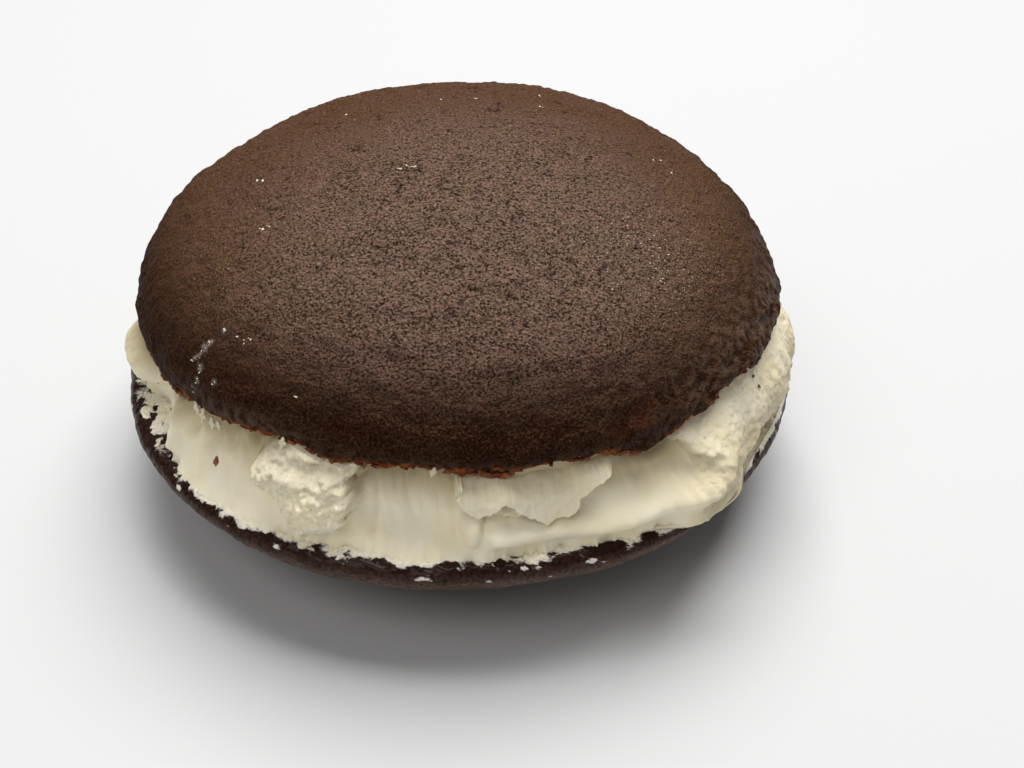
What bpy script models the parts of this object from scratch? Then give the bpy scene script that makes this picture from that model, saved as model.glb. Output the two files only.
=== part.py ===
"""A whoopie pie: two domed cocoa cakes, flat side to flat side, with whipped cream between them.

The lower cake lies dome down and carries the cream; the smaller upper cake sits on it, a little tilted.
Directions round the pie are in degrees from its front, which faces -Y, and grow towards +X.
"""

import math

import bpy
from mathutils import Matrix, Vector, noise

MM = 0.001

# The lower cake.
LOW_RADIUS = 52.5 * MM
LOW_DEPTH = 18.0 * MM  # from its flat face down to the spot it stands on
LOW_FULL_DEPTH = 18.6 * MM  # of the whole dome, whose crown the spot cuts off
LOW_POWERS = (1.1, 1.03)  # of the dome's curve, outwards and downwards; 1 and 1 would be an ellipse
LOW_EDGE = 1.8 * MM  # round of the edge between flat face and dome
LOW_WAVE = 0.25 * MM
LOW_LOBES = ((2, 0.6, -45.0),)  # how it departs from a circle: number of lobes, height (mm), direction of one

# The upper cake.
TOP_RADIUS = 48.4 * MM
TOP_RISE = 25.2 * MM
TOP_POWERS = (0.95, 1.21)
TOP_FOOT_INSET = 0.9 * MM  # the foot is that much narrower than the widest part
TOP_WIDEST = 2.2 * MM  # height of the widest part over the foot
TOP_WAVE = 0.3 * MM
TOP_LOBES = ((3, 0.5, 51.7), (2, 0.2, 53.8))
TOP_SHIFT = (-0.5 * MM, -0.2 * MM)
TOP_TILT = (math.radians(-0.4), math.radians(-1.3))  # about X, front up; about Y, right side up

# The cream.
CREAM_THICKNESS = 12.5 * MM  # between the two flat faces, on the axis
CREAM_FOOT = 50.4 * MM  # usual radius where it meets the lower cake
CREAM_TOP = 47.0 * MM  # usual radius where it meets the upper cake
CREAM_BELLY = 1.6 * MM  # usual swell of its side half-way up
CREAM_ROUGH = 0.45 * MM
CREAM_LIP_DROP = 1.7 * MM  # how far it hangs down over the lower cake's edge
CREAM_LIP_CLEARANCE = 0.6 * MM
CREAM_ROUNDING = 0.4 * MM  # at its foot
GAP = 0.3 * MM  # kept between touching pieces

SEGMENTS = 120
DOME_RINGS = 11
SIDE_ROWS = 9
RIM_STARTS = 0.72  # share of the radius from which the upper cake's foot is wavy

# Rises and dips of the upper cake's foot: middle, half-width (degrees) and height (mm).
RIM_WAVES = (
    (-59, 8, -1.6),
    (-29, 8, 1.1),
    (-20, 3, -0.7),
    (-5, 5, 0.4),
    (8, 4, -0.4),
    (17, 4, 0.3),
    (30.5, 4.5, -1.6),
    (38.5, 3, 0.5),
    (51, 8, 1.7),
    (92, 12, -0.4),
    (118, 14, 0.6),
    (152, 11, -0.5),
    (178, 12, 0.4),
    (-148, 10, -0.4),
    (-118, 12, 0.5),
    (-88, 10, -0.3),
)

# Where the cream swells or draws back: middle, half-width (degrees),
# then what it adds to the foot, the top and the belly (mm).
SWELLS = {
    "smooth slope": (-42, 12, 1.1, -1.3, -0.8),
    "bare patch": (-65, 8, -4.4, -0.8, -1.0),
    "left lobe": (-85, 12, -0.8, 0.4, 0.0),
    "behind the lump": (-24, 9, 0.0, -1.6, -0.9),
    "spread channel": (-8, 9, 0.0, -2.6, -2.2),
    "hollow under the flap": (13, 10, -1.0, 0.0, -2.6),
    "overhang": (42, 10, 3.4, 0.0, 0.3),
    "right bulge": (77, 16, 1.1, 0.8, 0.9),
    "back right": (128, 10, -0.8, 0.2, 0.7),
    "back": (166, 12, 0.6, -0.4, -0.5),
    "back left": (-147, 13, -0.9, -0.2, 0.8),
    "left back bulge": (-114, 11, 0.7, 0.4, 0.5),
}

# Soft upright ridges in the smooth slope: middle, half-width (degrees) and height (mm).
RIDGES = ((-46.5, 1.6, 0.5), (-41.8, 1.5, 0.5), (-37.8, 1.5, 0.4))

# The crest of the band of cream that runs below the flap: its ends (degrees), height over
# the lower cake, half-width and how far it stands out (mm).
BAND = (8, 42, 4.4, 1.9, 1.1)

# The flap: its ends (degrees), thickness at its torn edge and at its root, and its radius there.
FLAP_ENDS = (-0.9, 26.0)
FLAP_EDGE_THICKNESS = 1.3 * MM
FLAP_ROOT_THICKNESS = 3.2 * MM
FLAP_EDGE_RADIUS = 49.2 * MM
FLAP_ROOT_RADIUS = 47.2 * MM
FLAP_HEIGHT = 10.4 * MM  # of its torn edge over the lower cake, before the tongues
FLAP_TONGUES = ((3.0, 2.6, 3.3), (13.0, 4.2, 5.4), (17.6, 1.8, 2.5))  # middle, half-width, length (mm)
FLAP_COLUMNS = 22
FLAP_ROWS = 5
FLAP_LEAST = 1.5 * MM  # it hangs at least that far down

# Blobs of cream: direction (degrees), radius and height over the lower cake of the middle (mm),
# half-sizes outwards, sideways and upwards (mm), roughness (mm) and fineness.
BLOBS = {
    "lump": (-24.0, 45.8, 6.6, 5.0, 7.7, 5.8, 0.8, 3),
    "left dollop": (-73.5, 45.2, 5.9, 6.8, 8.6, 5.1, 0.3, 3),
    "curl": (2.2, 48.3, 4.4, 1.4, 1.2, 3.2, 0.1, 2),
}


def linear(red, green, blue):
    """A colour given on the 0 to 255 scale of screens, as Blender's nodes take it."""
    return [((shade / 255 + 0.055) / 1.055) ** 2.4 for shade in (red, green, blue)] + [1.0]


def material(name, colour, roughness):
    made = bpy.data.materials.new(name)
    made.use_nodes = True
    shader = made.node_tree.nodes["Principled BSDF"]
    shader.inputs["Base Color"].default_value = linear(*colour)
    shader.inputs["Roughness"].default_value = roughness
    shader.inputs["Metallic"].default_value = 0.0
    return made


def hill(angle, middle, width):
    """1 at the middle, dying away smoothly on both sides; all in degrees round the pie."""
    away = (angle - middle + 180.0) % 360.0 - 180.0
    return math.exp(-((away / width) ** 2))


def ease(value, start, end):
    """0 before start, 1 after end, and smooth between them."""
    share = min(max((value - start) / (end - start), 0.0), 1.0)
    return share * share * (3.0 - 2.0 * share)


def mix(first, second, share):
    return first + (second - first) * share


def at(angle, radius, height):
    """The point at that direction, distance from the axis and height."""
    turn = math.radians(angle)
    return Vector((radius * math.sin(turn), -radius * math.cos(turn), height))


def outward(angle):
    return at(angle, 1.0, 0.0)


def lobed(angle, radius, lobes):
    """That radius, out of round as the lobes say."""
    out = sum(height * math.cos(number * math.radians(angle - crest)) for number, height, crest in lobes)
    return radius * (1.0 + out / 50.0)


def uneven(point, size):
    """Smooth unevenness from about -1 to 1, with hills that far apart."""
    return 2.0 * noise.noise(point / size)


def directions():
    return [360.0 * i / SEGMENTS for i in range(SEGMENTS)]


# ----------------------------------------------------------------------- building solids


def solid_from_rings(name, rings, low_pole, high_pole):
    """A closed solid skinned over rings that run from its low pole, round its outside, to its high pole."""
    points = [low_pole] + [point for ring in rings for point in ring] + [high_pole]
    count = len(rings[0])
    faces = []
    for i in range(count):
        after = (i + 1) % count
        faces.append((0, 1 + after, 1 + i))
        for row in range(len(rings) - 1):
            low = 1 + row * count
            high = low + count
            faces.append((low + i, low + after, high + after, high + i))
        last = 1 + (len(rings) - 1) * count
        faces.append((last + i, last + after, len(points) - 1))
    mesh = bpy.data.meshes.new(name)
    mesh.from_pydata(points, [], faces)
    mesh.shade_smooth()
    made = bpy.data.objects.new(name, mesh)
    bpy.context.scene.collection.objects.link(made)
    return made


def join(body, pieces):
    """Fuses the pieces to the body by one Boolean union, then removes them."""
    group = bpy.data.collections.new(body.name + "_pieces")
    bpy.context.scene.collection.children.link(group)
    for piece in pieces:
        group.objects.link(piece)
    union = body.modifiers.new("union", "BOOLEAN")
    union.operation = "UNION"
    union.solver = "EXACT"
    union.operand_type = "COLLECTION"
    union.collection = group
    bpy.context.view_layer.objects.active = body
    bpy.ops.object.modifier_apply(modifier=union.name)
    for piece in pieces:
        bpy.data.objects.remove(piece)
    bpy.data.collections.remove(group)


# ----------------------------------------------------------------------------- the cakes


def low_cake():
    """Dome down: from the spot it stands on, up the dome, over the edge and in across the flat face."""
    spot = math.asin((LOW_DEPTH / LOW_FULL_DEPTH) ** (1 / LOW_POWERS[1]))
    side = []
    for step in range(DOME_RINGS):
        turn = mix(spot, math.asin(LOW_EDGE / LOW_FULL_DEPTH), step / (DOME_RINGS - 1))
        sunk = LOW_FULL_DEPTH * math.sin(turn) ** LOW_POWERS[1]
        side.append((LOW_RADIUS * math.cos(turn) ** LOW_POWERS[0], LOW_DEPTH - sunk))
    shoulder = side[-1][0] - LOW_EDGE
    for step in range(1, 4):
        turn = math.radians(30.0 * step)
        side.append((shoulder + LOW_EDGE * math.cos(turn), LOW_DEPTH - LOW_EDGE * (1.0 - math.sin(turn))))
    rings = [[at(a, side[0][0] * 0.5, 0.0) for a in directions()]]
    for number, (radius, height) in enumerate(side):
        wave = LOW_WAVE * ease(number, 0, DOME_RINGS - 1)
        ring = []
        for angle in directions():
            rough = wave * uneven(at(angle, radius, height), 24 * MM)
            ring.append(at(angle, lobed(angle, radius, LOW_LOBES) + rough, height))
        rings.append(ring)
    for share in (0.85, 0.5):
        rings.append([at(a, LOW_RADIUS * share, LOW_DEPTH) for a in directions()])
    return solid_from_rings("bottom_cake", rings, Vector((0, 0, 0)), Vector((0, 0, LOW_DEPTH)))


def top_seat():
    """Carries the upper cake's own frame, with its origin at the middle of its foot, to its place."""
    place = Matrix.Translation((*TOP_SHIFT, LOW_DEPTH + CREAM_THICKNESS))
    return place @ Matrix.Rotation(TOP_TILT[0], 4, "X") @ Matrix.Rotation(TOP_TILT[1], 4, "Y")


def foot_wave(angle, radius):
    """How far the upper cake's foot rises or dips at that place."""
    height = sum(height * hill(angle, middle, width) for middle, width, height in RIM_WAVES) * MM
    return height * ease(radius / TOP_RADIUS, RIM_STARTS, 0.97)


def top_cake():
    """Flat side down: out across the underside, up the steep shoulder and over the dome."""
    seat = top_seat()
    foot = TOP_RADIUS - TOP_FOOT_INSET
    outline = [(foot * share, 0.0) for share in (0.4, RIM_STARTS, 0.86, 0.94, 1.0)]
    outline.append((mix(foot, TOP_RADIUS, 0.75), TOP_WIDEST * 0.4))
    for step in range(DOME_RINGS):
        turn = math.pi / 2 * step / DOME_RINGS
        rise = (TOP_RISE - TOP_WIDEST) * math.sin(turn) ** TOP_POWERS[1]
        outline.append((TOP_RADIUS * math.cos(turn) ** TOP_POWERS[0], TOP_WIDEST + rise))
    rings = []
    for radius, height in outline:
        ring = []
        for angle in directions():
            fade = 1.0 - ease(height, 0.0, 9 * MM)
            lifted = height + foot_wave(angle, radius) * fade
            point = at(angle, lobed(angle, radius, TOP_LOBES), lifted)
            if height > 0.0:
                point += at(angle, radius, height).normalized() * TOP_WAVE * uneven(point, 17 * MM)
            ring.append(seat @ point)
        rings.append(ring)
    return solid_from_rings("top_cake", rings, seat @ Vector((0, 0, 0)), seat @ Vector((0, 0, TOP_RISE)))


# ------------------------------------------------------------------------------ the cream


def cream_sizes(angle):
    """(foot, top, belly) of the cream's side in that direction."""
    sizes = [CREAM_FOOT, CREAM_TOP, CREAM_BELLY]
    for middle, width, *added in SWELLS.values():
        share = hill(angle, middle, width)
        sizes = [size + share * more * MM for size, more in zip(sizes, added)]
    return sizes


def cream_relief(angle, height):
    """What ridges and crests add to the cream's side."""
    over = height / MM
    relief = sum(tall * hill(angle, middle, width) for middle, width, tall in RIDGES)
    start, end, crest, width, tall = BAND
    along = ease(angle, start - 6, start + 2) * (1.0 - ease(angle, end - 2, end + 8)) if angle < 180 else 0.0
    relief += tall * along * math.exp(-(((over - crest) / width) ** 2))
    return relief * MM


def under_top(seat, angle, radius, below=GAP):
    """A point just under the upper cake's foot."""
    return seat @ at(angle, radius, foot_wave(angle, radius) - below)


def cream_body():
    """Across the lower cake, over its edge where the cream hangs, up the side and in under the upper cake."""
    seat = top_seat()
    floor = LOW_DEPTH + GAP
    rings = [[at(a, LOW_RADIUS * share, floor) for a in directions()] for share in (0.4, 0.8)]
    past_edge = LOW_RADIUS + CREAM_LIP_CLEARANCE
    lip_rows = [[], [], []]
    side_rows = [[] for _ in range(SIDE_ROWS)]
    for angle in directions():
        foot, top, belly = cream_sizes(angle)
        hang = ease(hill(angle, *SWELLS["overhang"][:2]), 0.35, 0.95)
        drop = CREAM_LIP_DROP * hang
        lip = mix(foot - CREAM_ROUNDING, past_edge, hang)
        lip_rows[0].append(at(angle, mix(foot - 3 * CREAM_ROUNDING, LOW_RADIUS - LOW_EDGE, hang), floor))
        lip_rows[1].append(at(angle, mix(foot - 2 * CREAM_ROUNDING, past_edge, hang), floor))
        lip_rows[2].append(at(angle, lip, floor - drop))
        foot = max(foot, lip + CREAM_ROUNDING * (1.0 + 2.0 * hang))
        start = at(angle, foot, floor + CREAM_ROUNDING / 2 - drop * 0.85)
        end = under_top(seat, angle, top)
        for row in range(SIDE_ROWS):
            share = row / (SIDE_ROWS - 1)
            point = start.lerp(end, share)
            swell = 4.0 * share * (1.0 - share)
            relief = cream_relief(angle, point.z - LOW_DEPTH) + CREAM_ROUGH * uneven(point, 8 * MM)
            point += outward(angle) * (belly * swell + relief * min(1.0, 2.0 * swell))
            side_rows[row].append(point)
    rings += lip_rows + side_rows
    for share in (0.86, RIM_STARTS, 0.4):
        rings.append([under_top(seat, a, (TOP_RADIUS - TOP_FOOT_INSET) * share) for a in directions()])
    return solid_from_rings("filling", rings, Vector((0, 0, floor)), seat @ Vector((0, 0, -GAP)))


def flap_edge(angle):
    """Height of the flap's torn edge over the lower cake's flat face."""
    tongues = sum(length * hill(angle, middle, width) for middle, width, length in FLAP_TONGUES)
    return FLAP_HEIGHT - tongues * MM


def cream_flap():
    """A thin sheet of cream that hangs out from under the upper cake, with a torn lower edge."""
    seat = top_seat()
    outer = []
    inner = []
    for column in range(FLAP_COLUMNS):
        angle = mix(*FLAP_ENDS, column / (FLAP_COLUMNS - 1))
        root = under_top(seat, angle, FLAP_ROOT_RADIUS)
        root_back = under_top(seat, angle, FLAP_ROOT_RADIUS - FLAP_ROOT_THICKNESS)
        edge = at(angle, FLAP_EDGE_RADIUS, min(LOW_DEPTH + flap_edge(angle), root.z - FLAP_LEAST))
        edge_back = edge - outward(angle) * FLAP_EDGE_THICKNESS
        for row in range(FLAP_ROWS):
            share = row / (FLAP_ROWS - 1)
            outer.append(root.lerp(edge, share))
            inner.append(root_back.lerp(edge_back, share))
    return solid_from_sheets("flap", outer, inner, FLAP_COLUMNS, FLAP_ROWS)


def solid_from_sheets(name, front, back, columns, rows):
    """A closed solid between two grids of points, column by column, closed round its four edges."""

    def front_at(column, row):
        return column * rows + row

    def back_at(column, row):
        return len(front) + column * rows + row

    faces = []
    for column in range(columns - 1):
        for row in range(rows - 1):
            a, b = (column, row), (column, row + 1)
            c, d = (column + 1, row + 1), (column + 1, row)
            faces.append([front_at(*corner) for corner in (a, b, c, d)])
            faces.append([back_at(*corner) for corner in (d, c, b, a)])
    border = [(0, row) for row in range(rows)] + [(column, rows - 1) for column in range(1, columns)]
    border += [(columns - 1, row) for row in range(rows - 2, -1, -1)]
    border += [(column, 0) for column in range(columns - 2, 0, -1)]
    for first, second in zip(border, border[1:] + border[:1]):
        faces.append((front_at(*second), front_at(*first), back_at(*first), back_at(*second)))
    mesh = bpy.data.meshes.new(name)
    mesh.from_pydata(front + back, [], faces)
    made = bpy.data.objects.new(name, mesh)
    bpy.context.scene.collection.objects.link(made)
    return made


def cream_blob(name, angle, radius, height, deep, wide, tall, rough, fineness):
    bpy.ops.mesh.primitive_ico_sphere_add(subdivisions=fineness, radius=1.0)
    made = bpy.context.active_object
    made.name = name
    middle = at(angle, radius * MM, LOW_DEPTH + height * MM)
    sideways = outward(angle + 90.0)
    for vertex in made.data.vertices:
        unit = vertex.co.copy()
        grown = unit * (1.0 + rough / min(deep, wide, tall) * uneven(unit, 0.55))
        place = outward(angle) * grown.x * deep + sideways * grown.y * wide + Vector((0, 0, grown.z * tall))
        vertex.co = middle + place * MM
    return made


def filling():
    body = cream_body()
    blobs = [cream_blob(name, *sizes) for name, sizes in BLOBS.items()]
    join(body, [cream_flap()] + blobs)
    body.data.shade_smooth()
    return body


# ------------------------------------------------------------------------------- the pie


def centre_on_footprint(pieces):
    """Moves the pie sideways so that the middle of its bounding box is over the origin."""
    bpy.context.view_layer.update()
    corners = [piece.matrix_world @ vertex.co for piece in pieces for vertex in piece.data.vertices]
    for axis in (0, 1):
        middle = (min(c[axis] for c in corners) + max(c[axis] for c in corners)) / 2
        for piece in pieces:
            piece.location[axis] -= middle


def main():
    for old in list(bpy.data.objects):
        bpy.data.objects.remove(old)
    cocoa = material("cocoa_cake", (84, 66, 55), 0.6)
    dark_cocoa = material("dark_cocoa_cake", (56, 42, 36), 0.6)
    cream = material("whipped_cream", (212, 204, 176), 0.45)
    pieces = [low_cake(), filling(), top_cake()]
    for piece, finish in zip(pieces, (dark_cocoa, cream, cocoa)):
        piece.data.materials.clear()
        piece.data.materials.append(finish)
    centre_on_footprint(pieces)


main()
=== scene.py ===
"""A whoopie pie, dressed: cocoa crusts with their grain and torn rims, and whipped cream spread,
smeared and heaped between them.

Sizes are in metres, and those in tables are in millimetres. Directions round the pie are in degrees
from its front, which faces -Y, and grow towards +X. "Height" on the cream is measured in
millimetres over the lower crust's flat face.
"""

import math
import random

import bpy
import numpy as np
from mathutils import Matrix, Vector, noise


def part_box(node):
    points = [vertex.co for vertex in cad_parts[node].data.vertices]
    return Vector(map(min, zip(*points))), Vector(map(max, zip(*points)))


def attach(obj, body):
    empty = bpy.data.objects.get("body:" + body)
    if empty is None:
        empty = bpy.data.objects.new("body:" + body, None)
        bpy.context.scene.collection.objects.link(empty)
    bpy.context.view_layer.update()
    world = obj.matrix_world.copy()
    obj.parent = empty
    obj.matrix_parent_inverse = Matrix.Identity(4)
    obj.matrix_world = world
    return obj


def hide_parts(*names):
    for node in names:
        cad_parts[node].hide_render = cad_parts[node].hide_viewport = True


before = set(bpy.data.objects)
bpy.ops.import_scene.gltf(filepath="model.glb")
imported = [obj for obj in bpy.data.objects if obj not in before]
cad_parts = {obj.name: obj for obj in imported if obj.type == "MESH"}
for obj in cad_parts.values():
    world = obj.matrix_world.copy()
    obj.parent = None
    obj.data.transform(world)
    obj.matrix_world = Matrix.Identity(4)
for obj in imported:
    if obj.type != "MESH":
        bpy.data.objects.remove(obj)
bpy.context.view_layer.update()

MM = 0.001
AROUND = 50.0  # mm from the axis, where directions are turned into lengths

# ------------------------------------------------------------- sizes shared with the solids

LOW_RADIUS = 52.5 * MM
LOW_DEPTH = 18.0 * MM
LOW_FULL_DEPTH = 18.6 * MM  # before the spot that it stands on is cut off
LOW_POWERS = (1.1, 1.03)  # how full the dome's curve is, sideways and up
LOW_EDGE = 1.8 * MM
LOW_WAVE = 0.25 * MM
LOW_LOBES = ((2, 0.6, -45.0),)  # how many, how high (mm), and the direction of a crest

TOP_RADIUS = 48.4 * MM
TOP_RISE = 25.2 * MM
TOP_POWERS = (0.95, 1.21)
TOP_FOOT_INSET = 0.9 * MM
TOP_WIDEST = 2.2 * MM
TOP_WAVE = 0.3 * MM
TOP_LOBES = ((3, 0.5, 51.7), (2, 0.2, 53.8))
TOP_SHIFT = (-0.5 * MM, -0.2 * MM)
TOP_TILT = (math.radians(-0.4), math.radians(-1.3))

CREAM_THICKNESS = 12.5 * MM
CREAM_FOOT = 50.4 * MM
CREAM_TOP = 47.0 * MM
CREAM_BELLY = 1.6 * MM
CREAM_ROUGH = 0.45 * MM
CREAM_LIP_DROP = 1.7 * MM
CREAM_LIP_CLEARANCE = 0.6 * MM
CREAM_ROUNDING = 0.4 * MM
CREAM_INNER = 40 * MM  # where the cream's faces end between the cakes
GAP = 0.05 * MM  # the dressed pieces lie closer together than the solids

# Rises and dips of the upper crust's foot: middle, half-width (degrees) and height (mm).
RIM_WAVES = (
    (-59, 8, -1.6), (-29, 8, 1.1), (-20, 3, -0.7), (-5, 5, 0.4), (8, 4, -0.4), (17, 4, 0.3), (30.5, 4.5, -1.6),
    (38.5, 3, 0.5), (51, 8, 1.7), (92, 12, -0.4), (118, 14, 0.6), (152, 11, -0.5), (178, 12, 0.4),
    (-148, 10, -0.4), (-118, 12, 0.5), (-88, 10, -0.3),
)  # fmt: skip
RIM_STARTS, RIM_FULL = 0.72, 0.97  # shares of the way out

# Where the cream swells or draws back: middle, half-width (degrees),
# then what it adds to the foot, the top and the belly (mm).
SWELLS = {
    "smooth slope": (-42, 12, 1.1, -1.3, -0.8),
    "bare patch": (-65, 8, -4.4, -0.8, -1),
    "left lobe": (-85, 12, -0.8, 0.4, 0),
    "behind the lump": (-24, 9, 0, -1.6, -0.9),
    "spread channel": (-8, 9, 0, -2.6, -2.2),
    "hollow under the flap": (13, 10, -1, 0, -2.6),
    "overhang": (42, 10, 3.4, 0, 0.3),
    "right bulge": (77, 16, 1.1, 0.8, 0.9),
    "back right": (128, 10, -0.8, 0.2, 0.7),
    "back": (166, 12, 0.6, -0.4, -0.5),
    "back left": (-147, 13, -0.9, -0.2, 0.8),
    "left back bulge": (-114, 11, 0.7, 0.4, 0.5),
}

# ----------------------------------------------------------------------------------- curves


def hill(angle, middle, width):
    """1 at the middle, dying away smoothly on both sides; all in degrees round the pie."""
    away = (angle - middle + 180.0) % 360.0 - 180.0
    return np.exp(-((away / width) ** 2))


def ease(value, start, end):
    """0 before start, 1 after end, and smooth between them."""
    share = np.clip((value - start) / (end - start), 0.0, 1.0)
    return share * share * (3.0 - 2.0 * share)


def fade(value, start, end):
    """1 before start, 0 after end, and smooth between them."""
    return 1.0 - ease(value, start, end)


def mix(first, second, share):
    return first + (second - first) * share


def at(angle, radius, height):
    """The points at those directions, distances from the axis and heights."""
    turn = np.radians(angle)
    return np.stack(np.broadcast_arrays(radius * np.sin(turn), -radius * np.cos(turn), height), axis=-1)


def lobed(angle, radius, lobes):
    """That radius, out of round as the lobes say."""
    out = sum(height * np.cos(number * np.radians(angle - crest)) for number, height, crest in lobes)
    return radius * (1.0 + out / AROUND)


def uneven(points, size, octaves=1, shift=0.0):
    """Smooth unevenness from about -1 to 1 at each point, with hills that far apart."""
    spread = (points / size + shift).reshape(-1, 3).tolist()
    if octaves == 1:
        made = [2.0 * noise.noise(point) for point in spread]
    else:
        made = [noise.fractal(point, 0.7, 2.1, octaves) for point in spread]
    return np.array(made).reshape(points.shape[:-1])


def layered(points, *layers):
    """Unevenness in layers: how strong, how far apart its hills are (mm), octaves and shift."""
    return sum(strong * uneven(points, size * MM, octaves, shift) for strong, size, octaves, shift in layers)


def away_from_path(angle, height, path):
    """Distance in mm, measured on the cream's side, from a path of (direction, height)."""
    scale = math.radians(1.0) * AROUND
    nearest = np.full(angle.shape, np.inf)
    for (a0, h0), (a1, h1) in zip(path, path[1:]):
        across, up = (a1 - a0) * scale, h1 - h0
        x, y = (angle - a0) * scale, height - h0
        share = np.clip((x * across + y * up) / (across**2 + up**2), 0.0, 1.0)
        nearest = np.minimum(nearest, np.hypot(x - share * across, y - share * up))
    return nearest


def stroked(angle, height, strokes):
    """What strokes of (path, half-width, how far out) add to the cream's side, in mm."""
    found = 0.0 * angle
    for path, width, tall in strokes:
        found += tall * np.exp(-((away_from_path(angle, height, path) / width) ** 2))
    return found


def inside(angle, height, outline):
    """Whether each place lies inside an outline of (direction, height)."""
    found = np.zeros(angle.shape, bool)
    for (a0, h0), (a1, h1) in zip(outline, outline[1:] + outline[:1]):
        crosses = (h0 > height) != (h1 > height)
        rise = h1 - h0 if h1 != h0 else 1e-9  # a level side is never crossed
        found ^= crosses & (angle < (a1 - a0) * (height - h0) / rise + a0)
    return found


def depth_in(angle, height, outline):
    """How deep inside an outline each place lies, in mm; negative outside."""
    nearest = away_from_path(angle, height, outline + outline[:1])
    return np.where(inside(angle, height, outline), nearest, -nearest)


# ------------------------------------------------------------------------- modelling helpers


def leave_edit():
    bpy.ops.object.mode_set(mode="OBJECT")


def deselect_all():
    if bpy.context.mode != "OBJECT":
        leave_edit()
    bpy.ops.object.select_all(action="DESELECT")


def take(piece):
    """Selects this piece alone."""
    deselect_all()
    piece.select_set(True)
    bpy.context.view_layer.objects.active = piece


def edit(piece, mode):
    """Opens the piece in edit mode with nothing selected."""
    take(piece)
    bpy.ops.object.mode_set(mode="EDIT")
    bpy.ops.mesh.select_mode(type=mode)
    bpy.ops.mesh.select_all(action="DESELECT")


def face_outwards():
    """Turns every face of the piece in edit mode outwards, and leaves edit mode."""
    bpy.ops.mesh.select_all(action="SELECT")
    bpy.ops.mesh.normals_make_consistent(inside=False)
    leave_edit()


def named(name):
    """The piece just added, under that name."""
    piece = bpy.context.active_object
    piece.name = piece.data.name = name
    return piece


def rows_of(values, field):
    """A field of x, y and z, as rows."""
    flat = np.empty(len(values) * 3)
    values.foreach_get(field, flat)
    return flat.reshape(-1, 3)


def place_of(piece):
    return rows_of(piece.data.vertices, "co")


def outward_of(piece):
    """The direction that each vertex faces."""
    return rows_of(piece.data.vertex_normals, "vector")


def put(piece, points):
    piece.data.vertices.foreach_set("co", np.ascontiguousarray(points, float).ravel())
    piece.data.update()


def mark(piece, **marks):
    """Keeps values between 0 and 1 for each vertex, by name, for the material to read."""
    for name, values in marks.items():
        layer = piece.data.attributes.new(name, "FLOAT", "POINT")
        whole = np.zeros(len(piece.data.vertices), np.float32)
        whole[: len(values)] = np.clip(values, 0.0, 1.0)
        layer.data.foreach_set("value", whole)


def finish_piece(piece, slot, *nodes):
    """Smooth shading, its ride, and the solids it stands for hidden; the slot it is given is not used."""
    take(piece)
    bpy.ops.object.shade_smooth()
    deselect_all()
    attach(piece, "root")
    if nodes:
        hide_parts(*nodes)


def round_blank(name, half):
    """A fine square grid, with each vertex's share of the way out to the border, and its direction."""
    deselect_all()
    bpy.ops.mesh.primitive_grid_add(x_subdivisions=2 * half, y_subdivisions=2 * half, size=2.0)
    piece = named(name)
    x, y = place_of(piece)[:, 0], place_of(piece)[:, 1]
    share = np.maximum(np.abs(x), np.abs(y))
    wide = np.abs(x) >= np.abs(y)
    safe_x, safe_y = np.where(x == 0, 1.0, x), np.where(y == 0, 1.0, y)
    turn = np.where(wide, math.pi / 4 * y / safe_x, math.pi / 2 - math.pi / 4 * x / safe_y)
    turn += np.where(np.where(wide, x < 0, y < 0), math.pi, 0.0)
    return piece, share, np.degrees(np.arctan2(np.cos(turn), -np.sin(turn)))


def close_selected(middle, steps):
    """Draws the selected border in towards the middle, scaled by each step in turn, and closes it."""
    for step in steps:
        bpy.ops.mesh.extrude_region_move()
        bpy.ops.transform.resize(value=step, center_override=tuple(middle))
    bpy.ops.mesh.extrude_region_move()
    bpy.ops.mesh.merge(type="CENTER")
    face_outwards()


def close_border(piece, middle, shares):
    edit(piece, "EDGE")
    bpy.ops.mesh.select_non_manifold(extend=False, use_boundary=True, use_wire=False)
    close_selected(middle, [(share, share, share) for share in shares])


def close_loop(piece, chosen):
    """Closes the border loop made of those vertices, drawing it in level to the axis."""
    edit(piece, "VERT")
    leave_edit()
    whole = np.zeros(len(piece.data.vertices), bool)
    whole[: len(chosen)] = chosen
    piece.data.vertices.foreach_set("select", whole)
    bpy.ops.object.mode_set(mode="EDIT")
    bpy.ops.mesh.select_mode(type="EDGE")
    close_selected((0.0, 0.0, 0.0), [(0.5, 0.5, 1.0)])


# ------------------------------------------------------------------------------- the crusts


def top_seat():
    """Where the upper cake sits on the cream, a little to one side and tilted."""
    place = Matrix.Translation((*TOP_SHIFT, LOW_DEPTH + CREAM_THICKNESS))
    return place @ Matrix.Rotation(TOP_TILT[0], 4, "X") @ Matrix.Rotation(TOP_TILT[1], 4, "Y")


SEAT = np.array(top_seat())


def seated(points):
    return points @ SEAT[:3, :3].T + SEAT[:3, 3]


def near_to(points, middle, reach, steepness):
    """1 at that (x, y) and 0 well beyond reach."""
    return np.exp(-((np.linalg.norm(points[:, :2] - middle, axis=1) / reach) ** steepness))


def foot_wave(angle, radius):
    height = sum(height * hill(angle, middle, width) for middle, width, height in RIM_WAVES) * MM
    return height * ease(radius / TOP_RADIUS, RIM_STARTS, RIM_FULL)


def along(profile, share):
    """The (radius, height) at that share of the way along a profile."""
    profile = np.array(profile)
    gone = np.concatenate([[0.0], np.cumsum(np.hypot(*np.diff(profile, axis=0).T))])
    way = share * gone[-1]
    return np.interp(way, gone, profile[:, 0]), np.interp(way, gone, profile[:, 1])


DOME_STEPS = 200


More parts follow.
